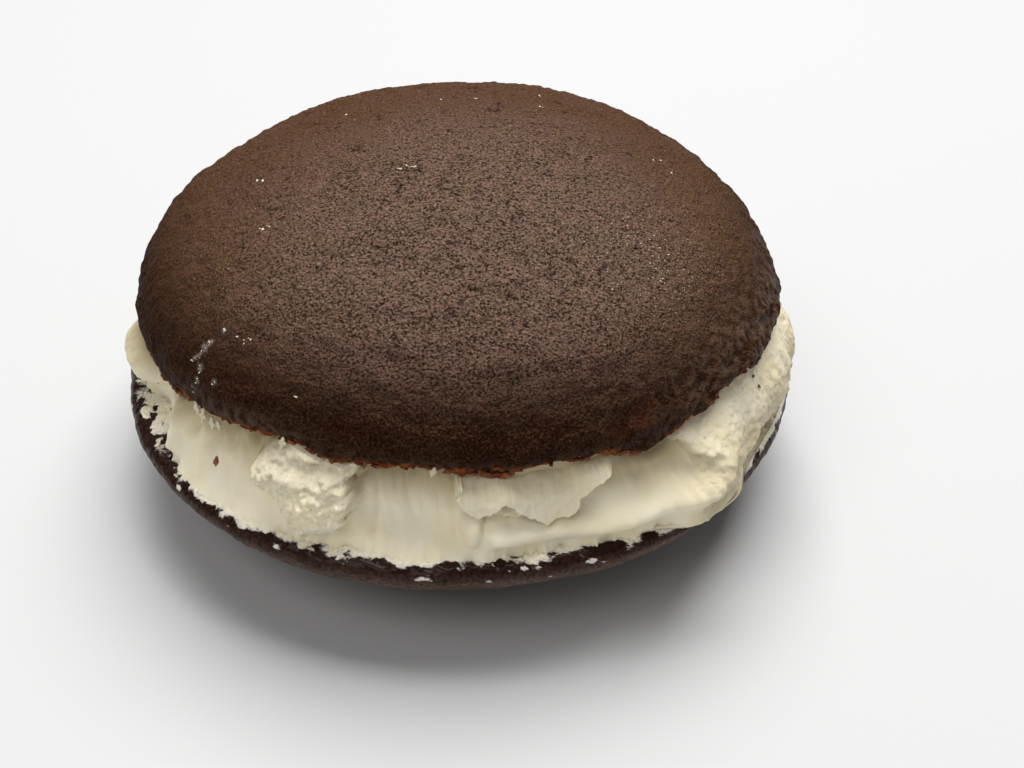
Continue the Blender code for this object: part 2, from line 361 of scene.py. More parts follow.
def top_profile():
    """From the crown out over the dome, round the widest part and a little way in under the foot."""
    wide, tall = TOP_POWERS
    dome = [
        (TOP_RADIUS * math.cos(turn) ** wide, TOP_WIDEST + (TOP_RISE - TOP_WIDEST) * math.sin(turn) ** tall)
        for turn in np.linspace(math.pi / 2, 0.0, DOME_STEPS)
    ]
    dome[0] = (0.0, TOP_RISE)
    foot = TOP_RADIUS - TOP_FOOT_INSET
    roll = [(mix(foot, TOP_RADIUS, 0.75), TOP_WIDEST * 0.4), (foot, 0.15 * MM), (foot - 0.5 * MM, 0.0)]
    return dome + roll + [(foot - 3.0 * MM, 0.0)]


# Short dark slits across the dome: direction, distance from the axis and half-length (mm).
SLITS = (
    (-27, 18, 0.8), (-9, 21.9, 0.7), (-4, 22.4, 0.6), (0, 26.3, 0.9), (4, 33.1, 1), (12, 34.2, 0.8),
    (18, 29, 0.9), (23, 32.5, 0.8), (29, 31.5, 0.6), (-1, 36.1, 0.9), (-11, 28.6, 0.7), (-5, 28.5, 0.7),
    (-20, 30, 0.6), (14, 22, 0.6),
)  # fmt: skip
SLIT_HALF_WIDTH = 0.22 * MM
# Where cream was wiped thinly over the dome, and where its skin shows ruddy: direction, distance
# from the axis, height over the foot and half-size (mm).
DUSTED = (
    (-44, 43.4, 11, 0.6), (-46, 44.9, 9.3, 0.8), (-46.8, 45.6, 8.4, 0.9), (-47.2, 46.3, 7.6, 0.6),
    (-48, 46.7, 6.8, 0.6), (-46, 47, 6.2, 0.8), (-46, 47.8, 4.6, 0.7), (-42, 47.3, 5.6, 0.6),
    (-47, 48.3, 3.1, 0.8), (-38.9, 43.4, 10.9, 0.3),
)  # fmt: skip
RUDDY = (
    (-39, 43.2, 11, 0.9), (29, 32.1, 20, 0.6), (29, 34.7, 18.6, 0.5), (-5, 28.7, 21.4, 0.6),
    (29, 48.3, 4.1, 2.2), (25, 48.3, 3.4, 2), (31, 48, 5.4, 1.6), (22, 48.4, 2.6, 1.6),
    (-7.5, 43.8, 10, 0.8),
)  # fmt: skip
# Knobs and dents on the shoulder at the right: direction, height over the foot, half-size and how
# far out (mm).
KNOBS = (
    (30.5, 3, 1.7, 0.9), (25.5, 3.6, 1.2, -0.55), (35.5, 3.4, 1.2, -0.6), (22, 3.4, 1.2, 0.35),
    (42, 4.2, 1.5, 0.4), (49, 3.6, 1.2, 0.45), (56, 4, 1.4, 0.35), (53, 6, 1.2, -0.3),
)  # fmt: skip
SHOULDER_RADIUS = 48 * MM
TOP_GRID, LOW_GRID = 146, 140  # half the squares across each crust's blank
# The skin's unevenness, in layers as "layered" takes them.
BROAD_DIMPLES, SMALL_DIMPLES = (0.13, 5, 1, 0.0), (0.10, 1.9, 1, 7.0)
WRINKLES = ((0.16, 2.4, 1, 13.0), (0.10, 1.2, 1, 15.0))
SHOULDER_LUMPS = ((0.42, 2.4, 1, 3.0), (0.22, 1.15, 1, 5.0))
SKIN_GRAIN = (0.10, 0.95, 1, 11.0)
TEARING, TORN_LINE = (0.42, 1.6, 4, 41.0), (0.35, 2.6, 1, 45.0)
DUSTED_BORDER, RUDDY_BORDER = (0.45, 0.9, 2, 61.0), (0.4, 1.6, 1, 63.0)
CRACK_DEPTH = 0.18  # mm
# Heights over the foot, and for the cracks distances from the axis, between which each one changes.
WAVY_FOOT = (0.0, 9 * MM)
LUMPY_SHOULDER, DARK_AND_SHADED_SHOULDER = (2.5 * MM, 9 * MM), (4.5 * MM, 17 * MM)
WRINKLES_BEGIN, WRINKLES_END = (3 * MM, 6 * MM), (13 * MM, 19 * MM)
CRACKS_END = (30 * MM, 42 * MM)
DAMP_SHEEN_FOOT, DAMP_SHEEN_RIGHT, DAMP_SHEEN_LEFT = (1.2 * MM, 3.2 * MM), (6 * MM, 14 * MM), (2 * MM, 5.5 * MM)
GLINTS_BEGIN = (9 * MM, 14 * MM)


def blotches(points, places, ragged):
    """1 in blotches at those places, with ragged borders, and 0 between them."""
    found = np.zeros(len(points))
    for angle, radius, height, size in places:
        away = np.linalg.norm(points - at(angle, radius * MM, height * MM), axis=1) / (size * MM)
        found = np.maximum(found, ease(1.1 - away + ragged, 0.0, 0.9))
    return found


def cracked(points, radius):
    """1 in the fine cracks and the slits over the dome's middle, and 0 beside them."""
    line = uneven(points * (0.5, 1.0, 1.0), 1.5 * MM, shift=21.0)
    where = uneven(points, 3.6 * MM, shift=31.0)
    cracks = np.exp(-((line / 0.07) ** 2)) * ease(where, 0.1, 0.5) * fade(radius, *CRACKS_END)
    for way, out_at, long in SLITS:
        here = at(way, out_at * MM, 0.0)[:2]
        bent = 0.25 * MM * uneven(points, 1.2 * MM, shift=way)
        lengthwise = (points[:, 0] - here[0]) / (long * MM)
        beside = (points[:, 1] - here[1] + bent) / SLIT_HALF_WIDTH
        cracks = np.maximum(cracks, np.exp(-(np.hypot(lengthwise, beside) ** 2)))
    return cracks


def dimpled(points, angle, radius, height):
    """The skin's dimples, the wrinkles over its shoulder, and the knobs at the right, in mm."""
    dimples = layered(points, BROAD_DIMPLES) + layered(points * (0.9, 1.0, 1.0), SMALL_DIMPLES)
    wrinkled = ease(height, *WRINKLES_BEGIN) * fade(height, *WRINKLES_END)
    dimples += wrinkled * layered(at(angle * 0.5, radius, height), *WRINKLES)
    for way, level, size, out_by in KNOBS:
        away = np.linalg.norm(points - at(way, SHOULDER_RADIUS, level * MM), axis=1) / (size * MM)
        dimples += out_by * np.exp(-(away**2))
    return dimples


def upper_crust():
    """The upper cake's skin, with fine cracks over the middle, a lumpy shoulder and a torn foot."""
    piece, share, angle = round_blank("upper_crust", TOP_GRID)
    radius, height = along(top_profile(), share)
    lifted = height + foot_wave(angle, radius) * fade(height, *WAVY_FOOT)
    points = at(angle, lobed(angle, radius, TOP_LOBES), lifted)
    away = points / np.linalg.norm(points, axis=1, keepdims=True)
    points += away * (TOP_WAVE * uneven(points, 17 * MM) * (height > 0))[:, None]
    put(piece, points)
    out = outward_of(piece)

    around = at(angle, SHOULDER_RADIUS, 0 * height)
    torn_line = (0.95 + layered(around, TORN_LINE)) * MM
    torn = fade(height, torn_line - 0.15 * MM, torn_line + 0.15 * MM)
    knobbly = mix(0.12, 0.22 + 1.15 * hill(angle, 50, 26), fade(height, *LUMPY_SHOULDER))
    lumps = layered(points * (0.55, 0.55, 1.0), *SHOULDER_LUMPS)
    cracks = cracked(points, radius)
    skin = dimpled(points, angle, radius, height) + lumps * knobbly + layered(points, SKIN_GRAIN)
    relief = (1.0 - torn) * skin
    relief += torn * (layered(points, TEARING) - 0.1) - CRACK_DEPTH * cracks
    points += out * (relief * MM)[:, None]
    droop = 0.5 * ease(uneven(around, 2.2 * MM, shift=51.0), 0.0, 1.0)
    points[:, 2] -= torn * droop * MM * (radius > 46 * MM)
    put(piece, seated(points))
    close_border(piece, seated(np.zeros(3)), (0.85, 0.4))

    # Moist, glossy patches: they get a coat, and a painted sheen in their colour.
    damp_and_sheen = np.maximum(hill(angle, 60, 28) * fade(height, *DAMP_SHEEN_RIGHT), 0.4 * fade(height, *DAMP_SHEEN_FOOT))
    damp_and_sheen = np.maximum(damp_and_sheen, 0.7 * hill(angle, -34, 17) * fade(height, *DAMP_SHEEN_LEFT))
    # Painted glints: light specks in the colour, thickest at the right of the dome.
    sparkling = 0.25 + 0.75 * near_to(points, (26 * MM, -24 * MM), 9 * MM, 2)
    mark(
        piece,
        crumb=torn,
        crack=cracks,
        # Darker low on the dome: partly the crust's own tone, partly painted shade where the dome turns away
        # from the light above.
        shoulder=fade(height, *DARK_AND_SHADED_SHOULDER),
        # Over the middle of the dome the grain opens, and a painted sheen is laid into the colour there.
        open_grain=near_to(points, (3 * MM, -26 * MM), 33 * MM, 4),
        glint=sparkling * ease(height, *GLINTS_BEGIN),
        wet=damp_and_sheen,
        dusted=blotches(points, DUSTED, layered(points, DUSTED_BORDER)) * (height > 0.8 * MM),
        ruddy=blotches(points, RUDDY, layered(points, RUDDY_BORDER)),
    )
    return piece


# Patches of cream on the lower crust's edge: direction, height over the flat face and half-sizes,
# across and up (mm).
EDGE_PATCHES = (
    (-5, -1.2, 1.1, 0.5), (-16, -1.9, 0.5, 0.35), (4.6, -1.6, 0.5, 0.3), (9.5, -0.5, 0.7, 0.3),
    (12, -0.6, 0.8, 0.35), (13.4, -2, 0.4, 0.25), (20, -1, 0.9, 0.35), (22, -1.5, 0.6, 0.3),
    (26.5, -0.7, 1.2, 0.4), (-27, -0.8, 0.5, 0.3), (-36, -0.9, 0.4, 0.3), (-48, -0.7, 0.6, 0.35),
    (-66, -2.4, 0.5, 0.6), (-72, -1.6, 0.6, 0.8), (66, -1.2, 0.6, 0.5), (71, -0.6, 0.9, 0.5),
)  # fmt: skip
# The first part of the lower crust's profile is never seen close: its share of the profile's
# length, and of the blank's rows.
LOW_COARSE, LOW_COARSE_ROWS = 0.70, 0.32
DOME_BUMPS = ((0.12, 4, 1, 2.0), (0.06, 1.3, 1, 4.0))
MOIST_CRUMB = ((0.26, 1.5, 4, 6.0), (0.10, 3.5, 1, 8.0))
FINE_SMEAR = ((1.0, 1.0, 1, 71.0), (0.5, 0.45, 1, 73.0))
FILM_THICKNESS = 0.14  # mm


def low_profile():
    """From the middle of the spot it stands on, up the dome, over the edge and in across the flat face."""
    wide, tall = LOW_POWERS
    spot = math.asin((LOW_DEPTH / LOW_FULL_DEPTH) ** (1 / tall))
    side = []
    for turn in np.linspace(spot, math.asin(LOW_EDGE / LOW_FULL_DEPTH), 120):
        side.append((LOW_RADIUS * math.cos(turn) ** wide, LOW_DEPTH - LOW_FULL_DEPTH * math.sin(turn) ** tall))
    shoulder = side[-1][0] - LOW_EDGE
    for turn in np.radians(np.linspace(6.0, 90.0, 15)):
        side.append((shoulder + LOW_EDGE * math.cos(turn), LOW_DEPTH - LOW_EDGE * (1.0 - math.sin(turn))))
    return [(0.0, 0.0), (side[0][0] * 0.8, 0.0)] + side + [(41 * MM, LOW_DEPTH)]


def smeared(points, angle, radius, height):
    """How thickly a film of cream lies on the lower crust there, from 0 to 1."""
    beyond = (radius - cream_sizes(angle)[0]) / MM
    fine = layered(points, *FINE_SMEAR)
    broad = uneven(points, 3.0 * MM, shift=75.0)
    film = ease(0.55 * broad + 0.25 * fine - 0.6 * beyond + 0.75, 0.1, 0.9)
    flecks = uneven(points, 0.7 * MM, shift=77.0) + 0.4 * broad
    flecks = 0.8 * ease(flecks, 1.0, 1.3) * fade(beyond, 1.6, 2.6)
    bare_patch = hill(angle, -66, 9) * ease(radius, 44 * MM, 46 * MM) * fade(radius, 51.2 * MM, 52.3 * MM)
    streaks = 1.1 * uneven(points * (1.0, 0.5, 1.0), 1.5 * MM, shift=79.0) + 0.5 * fine + 0.3
    streaks = streaks - 0.2 * np.clip(beyond - 2.0, 0.0, 4.0)
    film = np.maximum(np.maximum(film, flecks), bare_patch * ease(streaks + 0.6, 0.1, 0.6))
    film *= ease(height, LOW_DEPTH - 1.2 * MM, LOW_DEPTH - 0.2 * MM)
    for middle, level, wide, tall in EDGE_PATCHES:
        across = (angle - middle) * math.radians(1.0) * LOW_RADIUS / MM
        away = np.hypot(across / wide, ((height - LOW_DEPTH) / MM - level) / tall)
        film = np.maximum(film, (radius > 46 * MM) * 0.7 * ease(1.2 - away + 0.4 * fine, 0.1, 0.9))
    return film


def lower_crust():
    """The lower cake's skin: a dull dome, and a dark moist flat face that shows in a narrow band."""
    piece, share, angle = round_blank("lower_crust", LOW_GRID)
    share = np.interp(share, (0.0, LOW_COARSE_ROWS, 1.0), (0.0, LOW_COARSE, 1.0))
    radius, height = along(low_profile(), share)
    round_radius = lobed(angle, radius, LOW_LOBES)
    wave = LOW_WAVE * ease(height, 0.0, LOW_DEPTH * 0.7)
    points = at(angle, round_radius + wave * uneven(at(angle, radius, height), 24 * MM), height)
    put(piece, points)
    out = -outward_of(piece)  # the blank's faces look into the cake
    flat = ease(height, LOW_DEPTH - 0.9 * MM, LOW_DEPTH - 0.1 * MM) * ease(radius, 30 * MM, 35 * MM)
    dome = (1.0 - flat) * ease(height, 0.2 * MM, 1.5 * MM)
    film = smeared(points, angle, round_radius, height)
    relief = dome * layered(points, *DOME_BUMPS)
    relief += flat * (layered(points, *MOIST_CRUMB) - 0.08) + film * FILM_THICKNESS
    points += out * (relief * MM)[:, None]
    points[:, 2] = np.maximum(points[:, 2], 0.0)
    put(piece, points)
    close_border(piece, (0.0, 0.0, LOW_DEPTH), (0.5,))
    mark(piece, smear=film, moist=flat + 0.8 * ease(height, LOW_DEPTH - 3.0 * MM, LOW_DEPTH - 1.0 * MM))
    return piece


# -------------------------------------------------------------------------------- the cream

# Strokes left by the spreading knife and by tearing: a path of (direction, height in mm),
# then its half-width and height in mm; a negative height is a groove.
STROKES = (
    (((-46.5, 0.5), (-46.5, 12)), 1.3, 0.8),
    (((-41.5, 0.5), (-42, 12)), 1.2, 0.7),
    (((-37.8, 1), (-37.5, 12)), 1.2, 0.4),
    (((-44.4, 13), (-44.6, 7.5), (-46, 5)), 1.1, -1.6),
    (((-48.4, 13), (-50.5, 6.5)), 1.2, -1.4),
    (((-39.6, 13), (-39.8, 8)), 0.7, -0.8),
    (((-51.5, 13), (-53, 8), (-55, 2)), 1.3, 1.6),
    (((-34.6, 13), (-34.8, 7)), 1.3, -1.6),
    (((-35.5, 4.5), (-30, 2.5), (-24, -0.2)), 0.9, -0.35),
    (((-11, 12), (-10, 6.5)), 0.5, -0.35),
    (((-8.8, 11.5), (-7.9, 6)), 0.5, -0.3),
    (((-6.9, 10), (-6.2, 5)), 0.45, 0.25),
    (((-4.4, 11.5), (-3.6, 4)), 0.6, 0.3),
    (((-12.9, 11), (-13, 2)), 0.6, -0.45),
    (((-1, 12), (-0.6, 9), (-0.2, 3)), 0.6, -0.35),
    (((3.6, 8.6), (3.7, 6), (3, 3.2)), 0.35, -0.9),
    (((6, 3.8), (15, 3.7), (22, 3.3), (29, 3.8), (37, 5), (42, 6.2)), 1.9, 2.3),
    (((6, 1.6), (14, 1), (24, 1.2), (32, 2)), 0.8, -0.35),
    (((30, 8.6), (37, 8), (40.5, 7.2)), 1.1, -0.5),
    (((27, 11), (33, 10.6)), 1, 0.4),
    (((42, 8.6), (46, 7), (50, 5.5), (55, 4.5)), 1.3, 0.55),
)
# The rough mass at the right, which overlaps the smooth band, and the line below which the cream
# is undercut there.
RIGHT_MASS = (
    (32.6, 15.8), (34, 13.4), (36.6, 11.5), (39.4, 9.4), (41.5, 8.9), (43.6, 7.4), (47, 5.6),
    (51, 4.2), (57, 3.8), (66, 3.8), (80, 5.5), (88, 9), (92, 15.8),
)  # fmt: skip
UNDERCUT = (
    (40, -1.2), (42, -0.5), (46, 1.2), (50, 2.6), (54, 3.3), (60, 3.5), (68, 3),
    (78, 1), (84, -1),
)  # fmt: skip
# The curdled lump's outline, and a knob, a shelf, a dent, a belly and a fold on it, as strokes.
LUMP = (
    (-33.6, 9.2), (-33.5, 7.1), (-32.4, 5.7), (-30.6, 5), (-29.3, 3.9), (-28, 2), (-26, 0.6),
    (-22.8, 0.8), (-20.2, 1.5), (-17.4, 2.8), (-16.6, 4.3), (-15.2, 5.6), (-16, 6.6), (-15.6, 8),
    (-16.4, 10), (-15, 11.6), (-15.5, 16), (-25, 16), (-28.5, 14.4), (-30.8, 12.6), (-32.8, 11.2),
)  # fmt: skip
LUMP_FORMS = (
    (((-31, 9), (-29, 10.5)), 2.4, 0.9),
    (((-27, 12.6), (-17, 12.9)), 1, 0.9),
    (((-25.5, 11.2), (-19, 11.4)), 0.7, -0.9),
    (((-24.5, 7), (-20, 5)), 3, 0.7),
    (((-18.6, 8.5), (-19.6, 4)), 0.6, -0.6),
)
# Heaps: direction, distance from the axis and height of the middle, how far the heap stands out
# from there, and its half-sizes, across and up (mm).
LUMP_HEAP = (-23.5, 45.6, 6.0, 5.3, 11.5, 9.5)
DOLLOP_HEAP = (-75.0, 45.2, 7.0, 6.7, 8.2, 4.3)
CURL_HEAP = (2.2, 46.8, 4.4, 3.6, 1.7, 3.7)
DOLLOP_BLEND, CURL_BLEND = 0.5, 0.35  # mm over which a heap runs into the side
# The cream's unevenness, in layers as "layered" takes them.
SOFT_SWELLS = ((0.16, 4.5, 1, 101.0), (0.07, 1.7, 1, 103.0))
KNIFE_LINES, PORES = (0.11, 1.1, 1, 105.0), (0.18, 0.85, 3, 121.0)
TONGUES = ((0.5, 2.6, 1, 109.0), (0.38, 1.1, 1, 111.0), (0.2, 0.5, 1, 113.0))
LUMP_BORDER = ((0.6, 1.6, 1, 201.0), (0.25, 0.6, 1, 202.0))
LUMP_CURDS = ((0.8, 2.6, 5, 203.0), (0.42, 0.8, 2, 204.0))
DOLLOP_CURDS = (0.5, 3.0, 3, 207.0)
# Where the side is hollowed above its spread foot: direction, half-width (degrees) and depth (mm).
HOLLOWS = ((-41, 13, 1.5), (-7, 8, 1.0), (22, 10, 0.3))
# Where the back of the side is curdled: direction, half-width (degrees) and how strongly.
CURDLED_BACK = ((-150, 30, 0.5), (140, 25, 0.6))


def cream_sizes(angle):
    """(foot, top, belly) of the cream's side in those directions."""
    sizes = [size + 0.0 * angle for size in (CREAM_FOOT, CREAM_TOP, CREAM_BELLY)]
    for middle, width, *added in SWELLS.values():
        share = hill(angle, middle, width)
        sizes = [size + share * more * MM for size, more in zip(sizes, added)]
    return sizes


def under_top(angle, radius, below=GAP):
    """Points just under the upper crust's foot."""
    return seated(at(angle, radius, foot_wave(angle, radius) - below))


def heap(angle, height, middle, radius, level, deep, wide, tall):
    """How far out a heap reaches (mm), and what is left inside its rim: 1 at the crest, 0 at the rim."""
    across = np.radians((angle - middle + 180.0) % 360.0 - 180.0) * radius / wide
    up = (height - level) / tall
    left = 1.0 - across**2 - up**2
    return radius + deep * np.sqrt(np.clip(left, 0.0, None)), left


def grown_out(body, front, left, width):
    """The side with a heap grown smoothly out of it."""
    front = np.where(left > 0, front, 0.0)
    share = np.clip(0.5 + 0.5 * (body - front) / width, 0.0, 1.0)
    return mix(front, body, share) + width * share * (1.0 - share)


def with_heaps(points, angle, height, body):
    """The lump, the dollop and the curl, grown out of the cream's side."""
    depth = depth_in(angle, height, LUMP) + layered(points, *LUMP_BORDER)
    heaped = heap(angle, height, *LUMP_HEAP)[0] - 1.9 * ease(height, 8.5, 12.8)
    heaped += stroked(angle, height, LUMP_FORMS) + layered(points, *LUMP_CURDS)
    melting = fade(angle, -30.0, -24.0) * fade(height, 5.5, 8.0)
    body = mix(body, np.maximum(heaped, body + 0.3), ease(depth, -0.15, 0.65 + 1.5 * melting))
    front, left = heap(angle, height, *DOLLOP_HEAP)
    body = grown_out(body, front + layered(points, DOLLOP_CURDS), left, DOLLOP_BLEND)
    return grown_out(body, *heap(angle, height, *CURL_HEAP), CURL_BLEND)


def porous_at(angle):
    """1 where the cream's side is full of small holes, at its right."""
    return ease(angle, 34, 42) * fade(angle, 84, 92)


def cream_relief(points, angle, height, share):
    """What is added to the cream's side, in mm: strokes, soft swells, the rough mass, curds and pores."""
    relief = stroked(angle, height, STROKES) + layered(points, *SOFT_SWELLS)
    drawn = at(angle + 0.35 * height, AROUND * MM, points[:, 2] * 0.16)
    relief += layered(drawn, KNIFE_LINES) * ease(height, 1.0, 5.0)
    curds = uneven(points, 1.9 * MM, octaves=5, shift=107.0)
    melting = ease(angle, 39, 46)  # further round, the mass melts into the slope below it
    depth = depth_in(angle, height, RIGHT_MASS) + 0.35 * uneven(points, 1.3 * MM, shift=117.0)
    mass = ease(depth, -0.15 - 1.5 * melting, 0.45 + 2.5 * melting)
    lumpy = ease(angle, 40, 47)
    relief += mass * (mix(1.2, 0.35, ease(angle, 38, 50)) + mix(0.15, 0.26, lumpy) * curds)
    relief += mass * (1.0 - lumpy) * 0.35 * uneven(points, 2.8 * MM, shift=119.0)
    relief += porous_at(angle) * layered(points, PORES)
    curdled = hill(angle, 62, 20) * (1.0 - mass) * 0.5
    curdled += sum(strong * hill(angle, middle, width) for middle, width, strong in CURDLED_BACK)
    relief += curdled * 0.34 * curds
    return relief * np.clip(8.0 * share * (1.0 - share), 0.0, 1.0)


def feathered(angle, height):
    """How far the cream's foot runs out in tongues, in mm."""
    around = at(angle, AROUND * MM, 0.0 * angle)
    return layered(around, *TONGUES) * np.exp(-np.clip(height, 0.0, None) / 0.8)


def drawn_in(angle, height, share):
    """How far the side is hollowed above its spread foot, in mm."""
    deep = sum(depth * hill(angle, middle, width) for middle, width, depth in HOLLOWS) + 0.5
    return deep * (1.0 - np.exp(-np.clip(height, 0.0, None) / 1.6)) * (1.0 - share**2)


def undercut(angle, height):
    """How far the side falls back below the rough mass at the right, in mm."""
    angles, levels = np.array(UNDERCUT).T
    level = np.interp(angle, angles, levels, left=-5.0, right=-5.0)
    fallen = 2.6 * fade(height, level - 0.9, level + 0.1) * ease(angle, 40, 45)
    return (fallen + 0.16 * np.clip(8.0 - height, 0.0, 6.0) * ease(angle, 36, 42)) * fade(angle, 70, 84)


CREAM_COLUMNS = 1080
CREAM_LIP_ROWS = 4
CREAM_SIDE_ROWS = 70
FRONT_SHARE = 0.66  # of the columns stand in the front half


def cream_columns():
    """Directions of the cream's columns, closer together round the front."""
    even = np.linspace(-1.0, 1.0, CREAM_COLUMNS, endpoint=False)
    out = np.abs(even)
    front, back = out / FRONT_SHARE * 0.5, 0.5 + (out - FRONT_SHARE) / (1 - FRONT_SHARE) * 0.5
    return 180.0 * np.sign(even) * np.where(out < FRONT_SHARE, front, back)


def cream_blank(rows):
    """An upright tube of that many rows, with each vertex's direction and row."""
    deselect_all()
    bpy.ops.mesh.primitive_cylinder_add(vertices=CREAM_COLUMNS, radius=1.0, depth=2.0, end_fill_type="NOTHING")
    piece = named("cream")
    edit(piece, "EDGE")
    leave_edit()
    ends = np.empty(len(piece.data.edges) * 2, int)
    piece.data.edges.foreach_get("vertices", ends)
    level = place_of(piece)[:, 2][ends.reshape(-1, 2)]
    piece.data.edges.foreach_set("select", np.abs(level[:, 0] - level[:, 1]) > 1.0)
    bpy.ops.object.mode_set(mode="EDIT")
    bpy.ops.mesh.subdivide(number_cuts=rows - 2)
    leave_edit()
    start = place_of(piece)
    column = np.round(np.degrees(np.arctan2(start[:, 0], -start[:, 1])) / 360.0 * CREAM_COLUMNS).astype(int)
    angle = cream_columns()[(column + CREAM_COLUMNS // 2) % CREAM_COLUMNS]
    return piece, angle, np.round((start[:, 2] + 1.0) / 2.0 * (rows - 1)).astype(int)


def cream():
    """The cream's body: in across the lower crust, over its edge where it hangs down, up the side
    and in under the upper crust."""
    rows = CREAM_LIP_ROWS + CREAM_SIDE_ROWS + 1
    piece, angle, row = cream_blank(rows)
    foot, top, belly = cream_sizes(angle)
    floor = LOW_DEPTH + GAP
    hang = ease(hill(angle, *SWELLS["overhang"][:2]), 0.35, 0.95)
    drop = 0.25 * CREAM_LIP_DROP * hang  # the solid hangs a little lower here
    past_edge = LOW_RADIUS + CREAM_LIP_CLEARANCE
    lip = mix(foot - CREAM_ROUNDING, past_edge, hang)
    lips = [
        at(angle, CREAM_INNER, floor),
        at(angle, mix(foot - 3 * CREAM_ROUNDING, LOW_RADIUS - LOW_EDGE, hang), floor),
        at(angle, mix(foot - 2 * CREAM_ROUNDING, past_edge, hang), floor),
        at(angle, lip, floor - drop),
    ]
    foot = np.maximum(foot, lip + CREAM_ROUNDING * (1.0 + 2.0 * hang)) - 1.3 * MM * hill(angle, 35, 3.5)
    begin = at(angle, foot, mix(LOW_DEPTH - 0.15 * MM, floor + CREAM_ROUNDING / 2 - drop * 0.85, hang))
    share = np.clip((row - CREAM_LIP_ROWS) / (CREAM_SIDE_ROWS - 1), 0.0, 1.0)
    side = mix(begin, under_top(angle, top), share[:, None])
    height = (side[:, 2] - LOW_DEPTH) / MM
    swell = 4.0 * share * (1.0 - share)
    body = np.hypot(side[:, 0], side[:, 1]) / MM + belly / MM * swell
    body += CREAM_ROUGH / MM * uneven(side, 8 * MM) * np.clip(2 * swell, 0, 1)
    relief = cream_relief(side, angle, height, share)
    body += relief - drawn_in(angle, height, share) * (1.0 - hang)
    body = with_heaps(side, angle, height, body)
    body += feathered(angle, height) * (1.0 - 0.7 * hang) - undercut(angle, height)
    points = at(angle, body * MM, side[:, 2])
    for number, rows_at in [*enumerate(lips), (rows - 1, under_top(angle, CREAM_INNER))]:
        points = np.where((row == number)[:, None], rows_at, points)
    put(piece, points)
    for number in (0, rows - 1):
        close_loop(piece, row == number)

    porous = porous_at(angle)
    rough = np.maximum(ease(depth_in(angle, height, RIGHT_MASS), -0.5, 1.0), porous)
    in_lump = ease(depth_in(angle, height, LUMP), 0.0, 0.8)
    # Painted shade in the cream's colour: darker towards the upper crust, where its rim shades the side, and
    # in the strokes' grooves; less on the rough mass and the lump. The porous patch at the right also gets
    # painted shade, low down.
    hollows = 0.4 * np.clip(-relief, 0.0, 1.5) * ease(height, 3.0, 6.0)
    deep = np.maximum(ease(height, 5.0, 10.8), hollows) * (1.0 - 0.8 * rough) * (1.0 - 0.7 * in_lump)
    mark(piece, airy=np.maximum(rough, in_lump), deep=deep + 0.6 * porous * fade(height, 7.5, 10.0))
    return piece


# The flap's torn edge, as directions and heights (mm), and the second layer under its notch.
FLAP_EDGE = (
    (-0.9, 12.9), (-0.1, 11.4), (0.5, 9.7), (1.2, 8.5), (2.4, 7.4), (3.1, 7.1), (3.9, 7.6), (4.6, 7.8),
    (5.6, 8.5), (6.6, 9.3), (7.6, 9.1), (8.6, 8.3), (9.6, 7.3), (10.4, 6.7), (11.6, 6.2), (12.6, 5.6),
    (13.4, 4.9), (14.2, 5.4), (15.2, 5.8), (16.6, 6), (17.8, 6.2), (18.1, 7.2), (18.5, 8.2), (19.4, 8.9),
    (20.4, 9.6), (21.4, 10.4), (22.6, 10.8), (24.2, 11.3), (26, 12),
)  # fmt: skip
UNDER_EDGE = ((2.6, 9.0), (4.3, 7.7), (6.3, 6.9), (8.5, 6.2), (10.8, 5.9), (12.4, 6.4))
FLAP_ROOT = 45.6 * MM
FLAP_OUT = 49.7 * MM
SHEET_LET_IN = 0.4 * MM  # how far a sheet's root reaches up into the upper crust
SHEET_LEAST = 0.6 * MM  # how far a sheet hangs down at the least


def torn_sheet(name, edge, root_radius, edge_radius, thickness, columns, rows, seed):
    """A sheet of cream that hangs from under the upper crust down to a torn edge; closed all round."""
    deselect_all()
    bpy.ops.mesh.primitive_grid_add(x_subdivisions=columns, y_subdivisions=rows, size=1.0)
    piece = named(name)
    start = place_of(piece)
    edge = np.array(edge)
    first, last = edge[0, 0], edge[-1, 0]
    angle = mix(first, last, start[:, 0] + 0.5)
    down = 0.5 - start[:, 1]
    root = under_top(angle, root_radius, -SHEET_LET_IN)
    ends = ease(angle, first, first + 1.2) * fade(angle, last - 3.0, last)
    torn = np.interp(angle, edge[:, 0], edge[:, 1]) * MM
    torn += layered(at(angle, AROUND * MM, 0.0 * angle), (0.3, 0.9, 4, seed)) * MM
    level = LOW_DEPTH + np.minimum(torn, root[:, 2] - LOW_DEPTH - SHEET_LEAST)
    points = mix(root, at(angle, mix(root_radius, edge_radius, ends), level), down[:, None])
    bulge = 0.5 * np.sin(np.pi * np.clip(down, 0, 1)) + layered(points, (0.25, 5, 1, seed + 2))
    bulge = bulge * ends + layered(points, (0.16, 2.4, 1, seed + 6), (0.08, 0.9, 1, seed + 4))
    points += at(angle, 1.0, 0.0) * (bulge * MM)[:, None]
    put(piece, points)
    # Painted shade: the sheet's upper part, tucked under the crust's rim, is marked darker.
    mark(piece, deep=0.25 + 0.75 * fade(down, 0.0, 0.75))
    wall = piece.modifiers.new("thickness", "SOLIDIFY")
    wall.thickness = thickness
    wall.offset = -1.0
    bpy.ops.object.modifier_apply(modifier=wall.name)
    edit(piece, "VERT")
    face_outwards()
    return piece


def flap():
    return torn_sheet("cream_flap", FLAP_EDGE, FLAP_ROOT, FLAP_OUT, 0.6 * MM, 260, 60, 301.0)


def under_flap():
    root, out = FLAP_ROOT - 0.6 * MM, FLAP_OUT - 1.2 * MM
    return torn_sheet("cream_under_flap", UNDER_EDGE, root, out, 0.8 * MM, 90, 40, 311.0)


# ------------------------------------------------------------------- crumbs, specks and shreds

